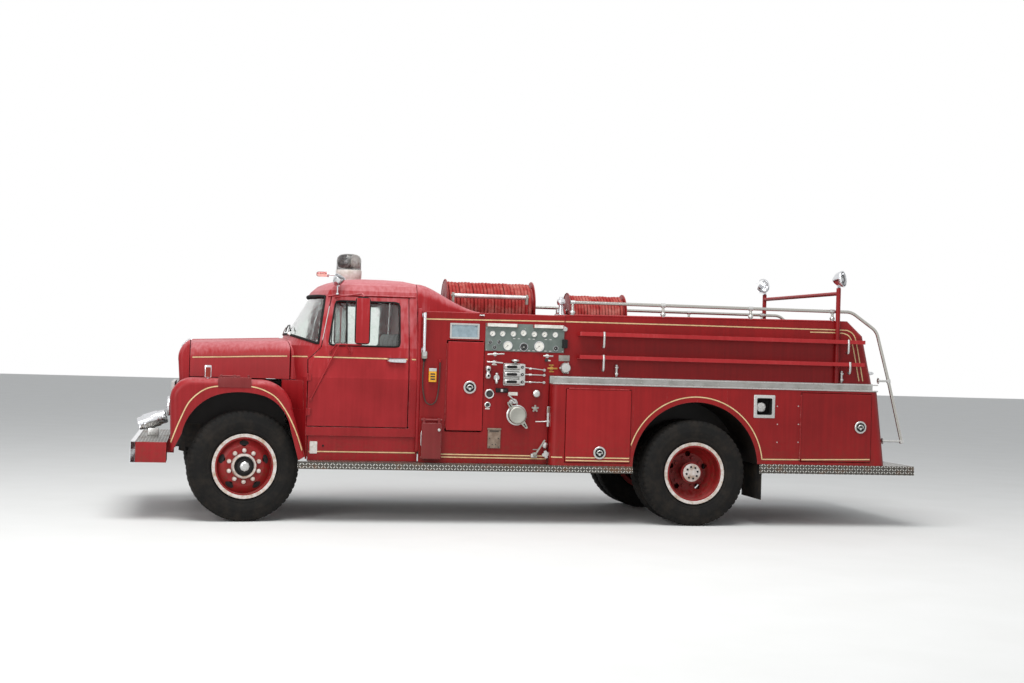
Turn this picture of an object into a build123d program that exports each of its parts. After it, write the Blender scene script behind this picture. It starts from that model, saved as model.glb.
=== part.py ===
# A 1960s conventional-cab pumper fire engine with a midship pump and an open hose bed.
# The nose points to -X, the left side to -Y and up is +Z. All lengths are millimetres.
# The origin is on the ground at the middle of the overall length and width.
# Stations along the length are measured back from the front axle.
import math
import os

from build123d import *

# Overall
WHEELBASE = 4293
FRONT_OVERHANG = 983
REAR_OVERHANG = 2223
SEAT_GAP = 0.3
HINGE_PIN = 5.7
HINGE_SET = 6
PANEL_GAP = 6

# Wheels and tyres
TYRE_RADIUS = 505
TYRE_WIDTH = 250
TYRE_WALL = 28
RIM_BASE_RADIUS = 262
RIM_RADIUS = 295
RIM_WIDTH = 205
RIM_WALL = 10
DISC_THICKNESS = 14
NUT_CIRCLE = 143
NUT_COUNT = 10
NUT_RADIUS = 17
NUT_HEIGHT = 24
HAND_HOLE_COUNT = 5
HAND_HOLE_CIRCLE = 205
HAND_HOLE_RADIUS = 27
SPINDLE_RADIUS = 34
FRONT_HUB_RADIUS = 62
REAR_HUB_RADIUS = 88
REAR_CAP_RADIUS = 102
DRUM_RADIUS = 205
DRUM_WIDTH = 72
FRONT_WHEEL_Y = 1000
FRONT_DISC_OFFSET = 62
TWIN_OUTER_Y = 1040
TWIN_SPACING = 288

# Steering
KINGPIN_Y = 830
KINGPIN_RADIUS = 20
KINGPIN_BOSS_RADIUS = 42
KINGPIN_BOSS_HEIGHT = 110
YOKE_EAR = 34
STEER_AT_REST = 8
STEER_ARM = 190
STEER_ARM_Z = 410
TIE_ROD_RADIUS = 16

# Ladder frame
FRAME_Y = 432
FRAME_FLANGE = 75
FRAME_HEIGHT = 230
FRAME_TOP = 865
FRAME_WEB = 9
FRAME_FRONT = -606
FRAME_REAR = 6130
CROSSMEMBERS = (-560, 1250, 2000, 3150, 5000, 6060)
CROSSMEMBER_WIDTH = 80
CAB_MOUNTS = (700, 1500)

# Axles and springs
AXLE_BEAM_Z = 395
AXLE_BEAM_HEIGHT = 80
AXLE_BEAM_WIDTH = 76
REAR_TUBE_RADIUS = 62
BANJO_RADIUS = 190
LEAF_THICKNESS = 11
LEAF_WIDTH = 75
LEAF_COUNT = 6

# Cab
CAB_WALL = 48
CAB_FRONT = 452
CAB_REAR = 1612
CAB_SILL = 790
CAB_FLOOR = 945
CAB_WAIST = 1330
CAB_BELT = 1622
CAB_GUTTER = 2106
CAB_ROOF = 2277
DASH_FRONT = 519.5
# Height, how far the lining sinks there, front, half width of the nose, corner, half width and rear
ROOF_SECTIONS = (
    (2106, 0, 640, 500, 765, 812, 1612),
    (2150, 0.3, 667, 490, 790, 800, 1612),
    (2205, 0.6, 730, 460, 850, 765, 1612),
    (2235, 0.8, 800, 420, 920, 700, 1612),
    (2262, 1, 900, 370, 1010, 590, 1500),
    (2277, 1, 1040, 300, 1130, 420, 1330),
)
CAB_SILL_Y = 968
CAB_WAIST_Y = 990
CAB_BELT_Y = 948
CAB_GUTTER_Y = 812
COWL_Y = 722
SCREEN_FOOT_X = 362
SCREEN_HEAD_X = 640
DOOR_FRONT = 600
DOOR_REAR = 1532
DOOR_BOTTOM = 880
DOOR_TOP = 2094
DOOR_GAP = 8
DOOR_REAR_GAP = 16
DOOR_HINGE_X = 598
DOOR_HINGE_Y = 995.5
DOOR_HINGES = (1010, 1330)
MIRROR_FOOT_Y = -1010
WINDOW_BOTTOM = 1632
WINDOW_TOP = 2050
WINDOW_REAR = 1448
GLASS_THICKNESS = 6
GLASS_DEPTH = 20

# Hood, nose and front fenders
HOOD_FRONT = -480
HOOD_REAR = 440
HOOD_SEAM = 366
HOOD_NOSE_Y = 520
HOOD_NOSE_TOP = 1650
HOOD_REAR_TOP = 1690
HOOD_BOTTOM = 1302
HOOD_SHOULDER = 120
HOOD_WALL = 20
HOOD_SPLIT = 10
NOSE_FRONT = -588
RADIATOR_TOP = 1246
HINGE_ROD = 4.7
GRILLE_HALF_WIDTH = 470
GRILLE_BOTTOM = 860
GRILLE_TOP = 1200
GRILLE_BARS = 8
FENDER_INNER_Y = 600
FENDER_OUTER_Y = 1140
FENDER_WALL = 14
FENDER_CROWN = 60
FENDER_LINER = (588, 600)
FENDER_LINER_FOOT = 862
HEADLAMP_Y = 800
HEADLAMP_Z = 1030
HEADLAMP_RADIUS = 90

# Bumper and its platform
BUMPER_TOP = 720
BUMPER_HEIGHT = 200
BUMPER_DEPTH = 48
BUMPER_HALF_WIDTH = 1110
PLATFORM_REAR = -662

# Pump house
HOUSE_FRONT = 1640
HOUSE_REAR = 3006
HOUSE_LOWER_REAR = 2866
HOUSE_Y = 1040
HOUSE_WALL = 36
DECK_Z = 1972
WELL = (1930, 2925)
WELL_HALF_WIDTH = 560
TALL_DOOR = (1890, 2232, 867, 1700)
GAUGE_PANEL = (2241, 3000, 1622, 1883)
HATCH_DEPTH = 430

# Side boxes, hose body and boards
BOX_FRONT = 2872
BOX_REAR_TOP = 6150
BOX_REAR_FOOT = 6240
BOX_Y = 1170
BOX_INNER_Y = 545
BOX_WALL = 24
BOX_TOP = 1327
BOX_CORNER = 60
BOX_JOINTS = (2800, 3667, 3993, 4293, 4593, 4919, 6300)
TAIL_CORNER = 90
LEDGE_TOP = 1402
ARCH_CENTRE_Z = 565
ARCH_RADIUS = 622
MID_DOOR = (3011, 3640, 596, 1281)
REAR_DOOR = (5350, 6066, 640, 1300)
DOOR_THICKNESS = 24
BODY_Y = 1034
BODY_WALL = 36
BODY_RAIL_REAR = 2015
BODY_TAIL = ((5890, 2015), (6040, 1880), (6150, 1402))
HOSE_BED_FLOOR = 1500
BOARD_TOP = 562
BOARD_EDGE = 67
BOARD_FRONT = 515
BOARD_REAR = 3675
BOARD_INNER_Y = 880
TAILBOARD_FRONT = 4939
TAILBOARD_TOP = 605
PLATE = 5
SHELF_FRONT = 3133
SHELF_REAR = 5997
SHELF_HEIGHTS = (1574, 1793)
SHELF_Y = 1150

# Reels
FAIRING_SECTIONS = (
    (CAB_REAR + 4, 2236, 120, 126), (1740, 2206, 115, 120), (1860, 2142, 100, 100), (1990, 2068, 70, 60),
    (2110, 2014, 36, 28), (2222, DECK_Z + 14, 16, 8),
)
REEL_FRONT = (1990, 2880, 2075, 255)
REEL_REAR = (3245, 3832, 2010, 225)
REEL_SHAFT = 16
ROLLER_Y = 530
ROLLER_Z = 2150

CORD_RADIUS = 7

# Fittings on the pump panel: station, height, radius and reach
FILLER = (4863, 5077, 1051, 1273)
GAUGES = (
    (2306, 1786, 27), (2402, 1787, 27), (2505, 1789, 27), (2603, 1799, 27), (2707, 1791, 27), (2806, 1792, 27),
    (2910, 1792, 27), (2287, 1704, 18), (2370, 1707, 18), (2329, 1655, 18), (2456, 1676, 43), (2610, 1667, 40),
    (2758, 1678, 49), (2918, 1662, 27),
)
CONTROL_KNOBS = (
    (2272, 1466, 30, 50), (2272, 1388, 26, 50), (2355, 1370, 30, 30), (2528, 1547, 22, 50), (2958, 1475, 44, 60),
    (2296, 1217, 43, 12), (2281, 1113, 27, 20), (2741, 1231, 36, 40), (2732, 1089, 34, 50), (2828, 659, 30, 50),
)
# Station and height of the middle, length, height and reach
CONTROL_PLATES = (
    (2338, 1592, 157, 16, 60), (2331, 1515, 150, 16, 60), (2272, 1425, 16, 60, 30), (2527, 1405, 200, 205, 60),
    (2720, 1454, 188, 12, 40), (2720, 1406, 188, 12, 40), (2720, 1337, 188, 12, 40), (2954, 1572, 92, 50, 12),
    (2885, 1471, 94, 20, 50), (2840, 1564, 92, 20, 40), (2411, 1252, 115, 41, 14), (2521, 1223, 90, 32, 14),
    (2846, 1016, 20, 196, 40), (2785, 970, 104, 16, 30), (2351, 799, 122, 186, 6), (2790, 715, 110, 14, 40),
)

os.makedirs("parts", exist_ok=True)

AXLE_X = FRONT_OVERHANG - (FRONT_OVERHANG + WHEELBASE + REAR_OVERHANG) / 2


def fa(station):
    """X in the frame of a station measured back from the front axle."""
    return AXLE_X + station


def block(x, y, z, mode=Mode.ADD):
    """A box between two stations, two values of Y and two of Z."""
    with Locations((fa((x[0] + x[1]) / 2), (y[0] + y[1]) / 2, (z[0] + z[1]) / 2)):
        Box(x[1] - x[0], abs(y[1] - y[0]), z[1] - z[0], mode=mode)


def side_plane(y):
    """A sketch plane at Y whose x runs back and y runs up. It faces -Y."""
    return Plane(origin=(0, y, 0), x_dir=(1, 0, 0), z_dir=(0, -1, 0))


def cross_plane(station):
    """A sketch plane across the vehicle whose x is Y and y is Z. It faces +X."""
    return Plane(origin=(fa(station), 0, 0), x_dir=(0, 1, 0), z_dir=(1, 0, 0))


def side_points(points):
    return [(fa(x), z) for x, z in points]


def tube(points, radius, bend):
    """A round tube through points, with one bend radius."""
    with BuildLine() as route:
        FilletPolyline(*points, radius=bend)
    wire = route.wire()
    with BuildSketch(Plane(origin=wire @ 0, z_dir=wire % 0)) as ring:
        Circle(radius)
    sweep(ring.sketch, path=wire)


def rod(start, end, radius):
    """A straight round rod between two points."""
    along = Vector(*end) - Vector(*start)
    with BuildSketch(Plane(origin=start, z_dir=along)) as ring:
        Circle(radius)
    extrude(ring.sketch, amount=along.length)


def write(node, label):
    """Write one node: one built piece, or a list of pieces that meet without being one solid."""
    if isinstance(node, list):
        whole = Compound(label=label, children=[solid for piece in node for solid in piece.part.solids()])
    else:
        whole = node.part
        whole.label = label
    export_step(whole, "parts/" + label + ".step")


def write_pair(node, label):
    """Write the piece of the left side, and its mirror image for the right side."""
    write(node, label + "_left")
    mirrored = []
    for piece in node if isinstance(node, list) else [node]:
        with BuildPart() as opposite:
            mirror(piece.part, about=Plane.XZ)
        mirrored.append(opposite)
    write(mirrored if isinstance(node, list) else mirrored[0], label + "_right")


# Tyres
def tyre_section(centre):
    """Half of a tyre's section beside a wheel's middle plane, as x = radius and y = along the axle."""
    half = TYRE_WIDTH / 2
    bead = RIM_BASE_RADIUS + SEAT_GAP
    seat = RIM_WIDTH / 2 - RIM_WALL - SEAT_GAP
    crown = TYRE_RADIUS
    wall = TYRE_WALL
    with BuildLine() as outline:
        outer = Polyline(
            (bead, centre - seat),
            (RIM_RADIUS + 8, centre - seat),
            (RIM_RADIUS + 30, centre - half + 12),
            (RIM_RADIUS + 95, centre - half),
            (crown - 42, centre - half + 12),
            (crown - 12, centre - half + 26),
            (crown, centre - half + 50),
            (crown, centre + half - 50),
            (crown - 12, centre + half - 26),
            (crown - 42, centre + half - 12),
            (RIM_RADIUS + 95, centre + half),
            (RIM_RADIUS + 30, centre + half - 12),
            (RIM_RADIUS + 8, centre + seat),
            (bead, centre + seat),
        )
        Polyline(
            outer @ 1,
            (bead, centre + seat - wall),
            (RIM_RADIUS + 40, centre + half - wall - 10),
            (crown - 60, centre + half - wall - 12),
            (crown - wall - 8, centre + half - 70),
            (crown - wall - 8, centre - half + 70),
            (crown - 60, centre - half + wall + 12),
            (RIM_RADIUS + 40, centre - half + wall + 10),
            (bead, centre - seat + wall),
            outer @ 0,
        )
    make_face(outline.edges())


def rim_section(centre):
    """A flat-base rim with a turned-up flange at each side."""
    half = RIM_WIDTH / 2
    with BuildLine() as outline:
        Polyline(
            (RIM_BASE_RADIUS - RIM_WALL, centre - half),
            (RIM_RADIUS, centre - half),
            (RIM_RADIUS, centre - half + RIM_WALL),
            (RIM_BASE_RADIUS, centre - half + RIM_WALL),
            (RIM_BASE_RADIUS, centre + half - RIM_WALL),
            (RIM_RADIUS, centre + half - RIM_WALL),
            (RIM_RADIUS, centre + half),
            (RIM_BASE_RADIUS - RIM_WALL, centre + half),
            close=True,
        )
    make_face(outline.edges())


def disc_section(inner_radius, disc_y, foot_y):
    """A pressed disc from the hub seat out to the rim's base. foot_y is where it meets the rim."""
    t = DISC_THICKNESS
    edge = RIM_BASE_RADIUS - RIM_WALL
    with BuildLine() as outline:
        Polyline(
            (inner_radius, disc_y - t / 2),
            (edge - 70, disc_y - t / 2),
            (edge - 22, (disc_y + foot_y) / 2 - t / 2),
            (edge, foot_y - t / 2),
            (edge, foot_y + t / 2 + 6),
            (edge - 30, (disc_y + foot_y) / 2 + t / 2),
            (edge - 70, disc_y + t / 2),
            (inner_radius, disc_y + t / 2),
            close=True,
        )
    make_face(outline.edges())


def ring_section(inner, outer, low, high):
    with BuildLine() as outline:
        Polyline((inner, low), (outer, low), (outer, high), (inner, high), close=True)
    make_face(outline.edges())


def axle_plane(station, y, turn=0):
    """The plane of a wheel's section: x is the radius, upwards, and y runs along the axle to -Y."""
    angle = math.radians(turn)
    outward = Vector(math.sin(angle), -math.cos(angle), 0)
    up = Vector(0, 0, 1)
    return Plane(origin=(fa(station), y, TYRE_RADIUS), x_dir=up, z_dir=up.cross(outward))


def hub_plane(plane, along):
    """The plane across a wheel's axle at a distance along it, facing outwards."""
    return Plane(origin=plane.origin + plane.y_dir * along, x_dir=plane.x_dir, z_dir=plane.y_dir)


def steered_centre(side):
    """The middle of a front wheel, moved with its knuckle to the steering angle at rest."""
    angle = math.radians(STEER_AT_REST)
    arm = FRONT_WHEEL_Y - KINGPIN_Y
    return (-side * arm * math.sin(angle), side * (KINGPIN_Y + arm * math.cos(angle)))


for side, name in ((-1, "left"), (1, "right")):
    wheel_x, wheel_y = steered_centre(side)
    # Both planes count outwards from the vehicle, so the right wheel is turned by half a turn more
    front = axle_plane(wheel_x, wheel_y, STEER_AT_REST + (180 if side > 0 else 0))
    front_spin = Axis(front.origin, front.y_dir)
    with BuildPart() as tyre:
        with BuildSketch(front):
            tyre_section(0)
        revolve(axis=front_spin)
    write(tyre, "tyre_front_" + name)

    disc_y = FRONT_DISC_OFFSET
    with BuildPart() as wheel:
        with BuildSketch(front):
            rim_section(0)
            disc_section(SPINDLE_RADIUS + 20, disc_y, disc_y - 40)
            ring_section(SPINDLE_RADIUS + SEAT_GAP, FRONT_HUB_RADIUS, disc_y - 100, disc_y + 42)
            ring_section(FRONT_HUB_RADIUS - 1, DRUM_RADIUS, disc_y - 100, disc_y - 88)
            ring_section(DRUM_RADIUS - 14, DRUM_RADIUS, disc_y - 100 - DRUM_WIDTH + 12, disc_y - 90)
        revolve(axis=front_spin)
        with BuildSketch(hub_plane(front, disc_y - DISC_THICKNESS)):
            with PolarLocations(HAND_HOLE_CIRCLE, HAND_HOLE_COUNT):
                Circle(HAND_HOLE_RADIUS)
        extrude(amount=DISC_THICKNESS * 2, mode=Mode.SUBTRACT)
        with BuildSketch(hub_plane(front, disc_y + DISC_THICKNESS / 2)):
            with PolarLocations(NUT_CIRCLE, NUT_COUNT):
                RegularPolygon(NUT_RADIUS, 6)
        extrude(amount=NUT_HEIGHT)
    write(wheel, "wheel_front_" + name)

    # Kingpin yoke, spindle, backing plate and steering arm
    turn = Vector(front.y_dir)
    kingpin = Vector(fa(0), side * KINGPIN_Y, TYRE_RADIUS)
    knuckle_plane = Plane(origin=kingpin, x_dir=front.x_dir, z_dir=front.z_dir)
    boss = KINGPIN_BOSS_HEIGHT / 2
    yoke_in = KINGPIN_BOSS_RADIUS + 6
    yoke_out = yoke_in + 26
    spin_plane = hub_plane(knuckle_plane, yoke_in)
    with BuildPart() as knuckle:
        with BuildSketch(spin_plane):
            Rectangle(2 * (boss + YOKE_EAR), 2 * KINGPIN_BOSS_RADIUS)
        extrude(amount=yoke_out - yoke_in)
        for ear in (boss + PANEL_GAP, -boss - YOKE_EAR):
            with BuildSketch(Plane(origin=kingpin + Vector(0, 0, ear), x_dir=turn, z_dir=(0, 0, 1))):
                Circle(KINGPIN_BOSS_RADIUS)
                with Locations((yoke_in / 2 + 5, 0)):
                    Rectangle(yoke_in + 10, 2 * KINGPIN_BOSS_RADIUS)
            extrude(amount=YOKE_EAR - PANEL_GAP)
        with BuildSketch(Plane(origin=kingpin + Vector(0, 0, -boss - YOKE_EAR - 6), z_dir=(0, 0, 1))):
            Circle(KINGPIN_RADIUS)
        extrude(amount=2 * (boss + YOKE_EAR) + 12)
        with BuildSketch(hub_plane(knuckle_plane, yoke_out - 1)):
            Circle(SPINDLE_RADIUS)
        extrude(amount=FRONT_WHEEL_Y - KINGPIN_Y + disc_y + 62 - yoke_out)
        with BuildSketch(hub_plane(knuckle_plane, yoke_out - 12)):
            Circle(DRUM_RADIUS - 22)
        extrude(amount=10)
        # The arm reaches straight back from the kingpin to the track rod's ball
        back = Vector(-turn.Y, turn.X, 0) if side < 0 else Vector(turn.Y, -turn.X, 0)
        arm_plane = Plane(
            origin=(kingpin.X, kingpin.Y, STEER_ARM_Z), x_dir=back, z_dir=(0, 0, 1)
        )
        with BuildSketch(arm_plane):
            with Locations((STEER_ARM / 2, 0)):
                Rectangle(STEER_ARM, 36)
            with Locations((STEER_ARM, 0)):
                Circle(26)
        extrude(amount=24)
    write(knuckle, "knuckle_" + name)

# The track rod joins the two steering arms behind the axle
turn = math.radians(STEER_AT_REST)
ball_x = STEER_ARM * math.cos(turn)
ball_shift = STEER_ARM * math.sin(turn)
with BuildPart() as tie_rod:
    with BuildSketch(Plane(origin=(fa(ball_x), 0, STEER_ARM_Z - 34), x_dir=(1, 0, 0), z_dir=(0, 0, 1))):
        for side in (-1, 1):
            with Locations((0, side * KINGPIN_Y + ball_shift)):
                Circle(24)
    extrude(amount=34 - SEAT_GAP)
    with BuildSketch(Plane(origin=(fa(ball_x), ball_shift, STEER_ARM_Z - 20), x_dir=(1, 0, 0), z_dir=(0, 1, 0))):
        Circle(TIE_ROD_RADIUS)
    extrude(amount=KINGPIN_Y - 12, both=True)
write(tie_rod, "tie_rod")

# Rear twin wheels
for side, name in ((-1, "left"), (1, "right")):
    rear = axle_plane(WHEELBASE, side * TWIN_OUTER_Y, 180 if side > 0 else 0)
    rear_spin = Axis(rear.origin, rear.y_dir)
    with BuildPart() as tyre:
        with BuildSketch(rear):
            tyre_section(0)
            tyre_section(-TWIN_SPACING)
        revolve(axis=rear_spin)
    write(tyre, "tyre_rear_" + name)

    middle = -TWIN_SPACING / 2
    face = middle + DISC_THICKNESS
    with BuildPart() as wheel:
        with BuildSketch(rear):
            rim_section(0)
            rim_section(-TWIN_SPACING)
            disc_section(REAR_HUB_RADIUS - 10, middle + DISC_THICKNESS / 2, -60)
            disc_section(REAR_HUB_RADIUS - 10, middle - DISC_THICKNESS / 2, -TWIN_SPACING + 60)
            ring_section(SPINDLE_RADIUS + SEAT_GAP, REAR_HUB_RADIUS, middle - 130, face + 120)
            ring_section(SPINDLE_RADIUS + SEAT_GAP, REAR_CAP_RADIUS, face + 120, face + 138)
            ring_section(0, 46, face + 137, face + 150)
            ring_section(REAR_HUB_RADIUS - 1, DRUM_RADIUS, middle - 130, middle - 118)
            ring_section(DRUM_RADIUS - 14, DRUM_RADIUS, middle - 130 - DRUM_WIDTH, middle - 120)
        revolve(axis=rear_spin)
        for start in (face - 40, ):
            with BuildSketch(hub_plane(rear, start)):
                with PolarLocations(HAND_HOLE_CIRCLE - 30, HAND_HOLE_COUNT):
                    Circle(HAND_HOLE_RADIUS)
            extrude(amount=60, mode=Mode.SUBTRACT)
        with BuildSketch(hub_plane(rear, face)):
            with PolarLocations(NUT_CIRCLE, NUT_COUNT, start_angle=360 / NUT_COUNT / 2):
                RegularPolygon(NUT_RADIUS, 6)
        extrude(amount=NUT_HEIGHT)
    write(wheel, "wheel_rear_" + name)


# Ladder frame
with BuildPart() as chassis_frame:
    for side in (-1, 1):
        outer = side * FRAME_Y
        web = (outer, outer - side * FRAME_WEB)
        flange = (outer, outer - side * FRAME_FLANGE)
        block((FRAME_FRONT, FRAME_REAR), web, (FRAME_TOP - FRAME_HEIGHT, FRAME_TOP))
        for low in (FRAME_TOP - FRAME_HEIGHT, FRAME_TOP - FRAME_WEB):
            block((FRAME_FRONT, FRAME_REAR), flange, (low, low + FRAME_WEB))
    inside = FRAME_Y - FRAME_WEB + 1
    for station in CROSSMEMBERS:
        block(
            (station - CROSSMEMBER_WIDTH / 2, station + CROSSMEMBER_WIDTH / 2),
            (-inside, inside),
            (FRAME_TOP - 85, FRAME_TOP - 15),
        )
    for side in (-1, 1):
        for station in CAB_MOUNTS:
            pad = (side * (FRAME_Y - FRAME_FLANGE), side * FRAME_Y)
            block((station - 45, station + 45), pad, (FRAME_TOP - 1, CAB_FLOOR - CAB_WALL - SEAT_GAP))
write(chassis_frame, "chassis_frame")

# Front axle beam and rear axle housing
boss = KINGPIN_BOSS_HEIGHT / 2
with BuildPart() as axles:
    with BuildSketch(cross_plane(-AXLE_BEAM_WIDTH / 2)):
        with BuildLine():
            low = AXLE_BEAM_Z
            high = AXLE_BEAM_Z + AXLE_BEAM_HEIGHT
            end = KINGPIN_Y - 20
            Polyline(
                (-end, TYRE_RADIUS - 40), (-end, TYRE_RADIUS + 40), (-end + 70, TYRE_RADIUS + 40),
                (-560, high), (560, high), (end - 70, TYRE_RADIUS + 40), (end, TYRE_RADIUS + 40),
                (end, TYRE_RADIUS - 40), (end - 60, TYRE_RADIUS - 40), (600, low), (-600, low),
                (-end + 60, TYRE_RADIUS - 40), close=True,
            )
        make_face()
    extrude(amount=AXLE_BEAM_WIDTH)
    with BuildSketch(Plane.XY.offset(TYRE_RADIUS - boss)):
        with Locations((fa(0), -KINGPIN_Y), (fa(0), KINGPIN_Y)):
            Circle(KINGPIN_BOSS_RADIUS)
    extrude(amount=2 * boss)
    with BuildSketch(Plane.XY.offset(TYRE_RADIUS - boss)):
        with Locations((fa(0), -KINGPIN_Y), (fa(0), KINGPIN_Y)):
            Circle(KINGPIN_RADIUS + SEAT_GAP)
    extrude(amount=2 * boss, mode=Mode.SUBTRACT)
    # Rear axle
    tube_end = TWIN_OUTER_Y - TWIN_SPACING / 2 - 145 - DRUM_WIDTH
    axis_end = TWIN_OUTER_Y - 30
    with BuildSketch(Plane(origin=(fa(WHEELBASE), 0, TYRE_RADIUS), x_dir=(1, 0, 0), z_dir=(0, 1, 0))):
        Circle(REAR_TUBE_RADIUS)
    extrude(amount=tube_end, both=True)
    with BuildSketch(Plane(origin=(fa(WHEELBASE), 0, TYRE_RADIUS), x_dir=(1, 0, 0), z_dir=(0, 1, 0))):
        Circle(SPINDLE_RADIUS)
    extrude(amount=axis_end, both=True)
    with Locations((fa(WHEELBASE), 0, TYRE_RADIUS)):
        Sphere(BANJO_RADIUS)
    with BuildSketch(Plane(origin=(fa(WHEELBASE), 0, TYRE_RADIUS), x_dir=(0, 1, 0), z_dir=(-1, 0, 0))):
        Circle(70)
    extrude(amount=BANJO_RADIUS + 60)
write(axles, "axles")


def leaf_pack(centre, y, seat, half_length, rise):
    """A pack of leaves that shorten downwards, under two eyes."""
    for leaf in range(LEAF_COUNT):
        share = 1 - leaf / (LEAF_COUNT + 1)
        reach = half_length * share
        lift = rise * share * share
        low = seat + (LEAF_COUNT - 1 - leaf) * LEAF_THICKNESS
        high = low + LEAF_THICKNESS
        with BuildSketch(side_plane(y + LEAF_WIDTH / 2)) as strip:
            with BuildLine():
                ThreePointArc((fa(centre - reach), low + lift), (fa(centre), low), (fa(centre + reach), low + lift))
                ThreePointArc((fa(centre - reach), high + lift), (fa(centre), high), (fa(centre + reach), high + lift))
                Line((fa(centre - reach), low + lift), (fa(centre - reach), high + lift))
                Line((fa(centre + reach), low + lift), (fa(centre + reach), high + lift))
            make_face()
        extrude(strip.sketch, amount=LEAF_WIDTH)
    top = seat + LEAF_COUNT * LEAF_THICKNESS + rise
    return top


with BuildPart() as leaf_springs:
    for side in (-1, 1):
        y = side * (FRAME_Y - LEAF_WIDTH / 2)
        seat = AXLE_BEAM_Z + AXLE_BEAM_HEIGHT
        top = leaf_pack(0, y, seat, 560, 70)
        for station in (-535, 535):
            block((station - 28, station + 28), (y - 34, y + 34), (top - 12, FRAME_TOP - FRAME_HEIGHT))
        y = side * (FRAME_Y + LEAF_WIDTH / 2 + 8)
        seat = TYRE_RADIUS + REAR_TUBE_RADIUS
        top = leaf_pack(WHEELBASE, y, seat, 620, 60)
        for station in (WHEELBASE - 590, WHEELBASE + 590):
            block((station - 30, station + 30), (y - 34, y + 34), (top - 12, FRAME_TOP - 40))
            hanger = (side * FRAME_Y, side * (FRAME_Y + LEAF_WIDTH / 2 + 10))
            block((station - 30, station + 30), hanger, (top + 20, FRAME_TOP - 40))
write(leaf_springs, "leaf_springs")

# Engine, gearbox, midship pump and shafts as plain masses at their real places
with BuildPart() as powertrain:
    block((-250, 420), (-290, 290), (640, 1280))
    block((420, 560), (-230, 230), (620, 860))
    block((560, 1150), (-170, 170), (600, 770))
    with BuildSketch(cross_plane(1150)):
        with Locations((0, 690)):
            Circle(45)
    extrude(amount=1200)
    block((2300, 2760), (-330, 330), (660, 1190))
    nose_x = WHEELBASE - BANJO_RADIUS - 60
    shaft = Vector(nose_x - 2750, 0, TYRE_RADIUS - 690)
    with BuildSketch(Plane(origin=(fa(2750), 0, 690), x_dir=(0, 1, 0), z_dir=shaft)):
        Circle(45)
    extrude(amount=shaft.length + 20)
    block((nose_x - SEAT_GAP, nose_x + 200), (-200, 200), (300, 700), mode=Mode.SUBTRACT)
    # Radiator standing on the frame
    block((-575, -495), (-400, 400), (FRAME_TOP + SEAT_GAP, RADIATOR_TOP))
write(powertrain, "powertrain")


# Cab: plan outlines at each height, from the cowl to the rear wall
def cab_outline(front, nose_y, corner, side_y, inset, rear=CAB_REAR):
    """The plan of half a cab doubled over: a bowed front, a swept corner and a straight side."""
    f = front + inset
    n = nose_y - inset * 0.6
    c = corner + inset * 0.8
    s = side_y - inset
    r = rear - inset
    with BuildLine() as outline:
        ThreePointArc((fa(f + 42), -n), (fa(f), 0), (fa(f + 42), n))
        ThreePointArc((fa(f + 42), n), (fa(f + 42 + (c - f - 42) * 0.55), n + (s - n) * 0.72), (fa(c), s))
        Line((fa(c), s), (fa(r), s))
        Line((fa(r), s), (fa(r), -s))
        Line((fa(r), -s), (fa(c), -s))
        ThreePointArc((fa(c), -s), (fa(f + 42 + (c - f - 42) * 0.55), -n - (s - n) * 0.72), (fa(f + 42), -n))
    make_face(outline.edges())


def cab_lower(inset, mode, floor=CAB_SILL):
    share = (floor - CAB_SILL) / (CAB_WAIST - CAB_SILL)
    sill_y = CAB_SILL_Y + (CAB_WAIST_Y - CAB_SILL_Y) * share
    with BuildSketch(Plane.XY.offset(floor)) as low:
        cab_outline(CAB_FRONT, COWL_Y - 60, DOOR_FRONT - 12, sill_y, inset)
    with BuildSketch(Plane.XY.offset(CAB_WAIST)) as mid:
        cab_outline(CAB_FRONT, COWL_Y - 60, DOOR_FRONT - 12, CAB_WAIST_Y, inset)
    loft([low.sketch, mid.sketch], mode=mode)


def cab_middle(inset, mode):
    with BuildSketch(Plane.XY.offset(CAB_WAIST)) as low:
        cab_outline(CAB_FRONT, COWL_Y - 60, DOOR_FRONT - 12, CAB_WAIST_Y, inset)
    with BuildSketch(Plane.XY.offset(CAB_BELT)) as mid:
        cab_outline(SCREEN_FOOT_X, 560, 690, CAB_BELT_Y, inset)
    loft([low.sketch, mid.sketch], mode=mode)


def cab_upper(inset, mode):
    with BuildSketch(Plane.XY.offset(CAB_BELT)) as low:
        cab_outline(SCREEN_FOOT_X, 560, 690, CAB_BELT_Y, inset)
    with BuildSketch(Plane.XY.offset(CAB_GUTTER)) as mid:
        cab_outline(SCREEN_HEAD_X, 500, 765, CAB_GUTTER_Y, inset)
    loft([low.sketch, mid.sketch], mode=mode)


def cab_roof(inset, mode):
    sections = []
    for z, sink, front, nose_y, corner, side_y, rear in ROOF_SECTIONS:
        with BuildSketch(Plane.XY.offset(z - inset * sink)) as section:
            cab_outline(front, nose_y, corner, side_y, inset, rear)
        sections.append(section.sketch)
    loft(sections, mode=mode, ruled=True)


def door_outline(gap):
    """The door's outline from the side, with its front edge leaning back above the belt."""
    front = DOOR_FRONT - gap
    rear = DOOR_REAR + gap
    low = DOOR_BOTTOM - gap
    high = DOOR_TOP + gap
    with BuildLine() as outline:
        Polyline(
            *side_points(
                [
                    (front, low), (rear, low), (rear, high), (DOOR_FRONT + 212 - gap, high),
                    (DOOR_FRONT + 118 - gap, CAB_BELT - 12), (front, CAB_BELT - 130),
                ]
            ),
            close=True,
        )
    make_face(outline.edges())


def window_outline():
    with BuildLine() as outline:
        Polyline(
            *side_points(
                [(782, WINDOW_BOTTOM), (WINDOW_REAR, WINDOW_BOTTOM), (WINDOW_REAR, WINDOW_TOP), (846, WINDOW_TOP)]
            ),
            close=True,
        )
    make_face(outline.edges())


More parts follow.
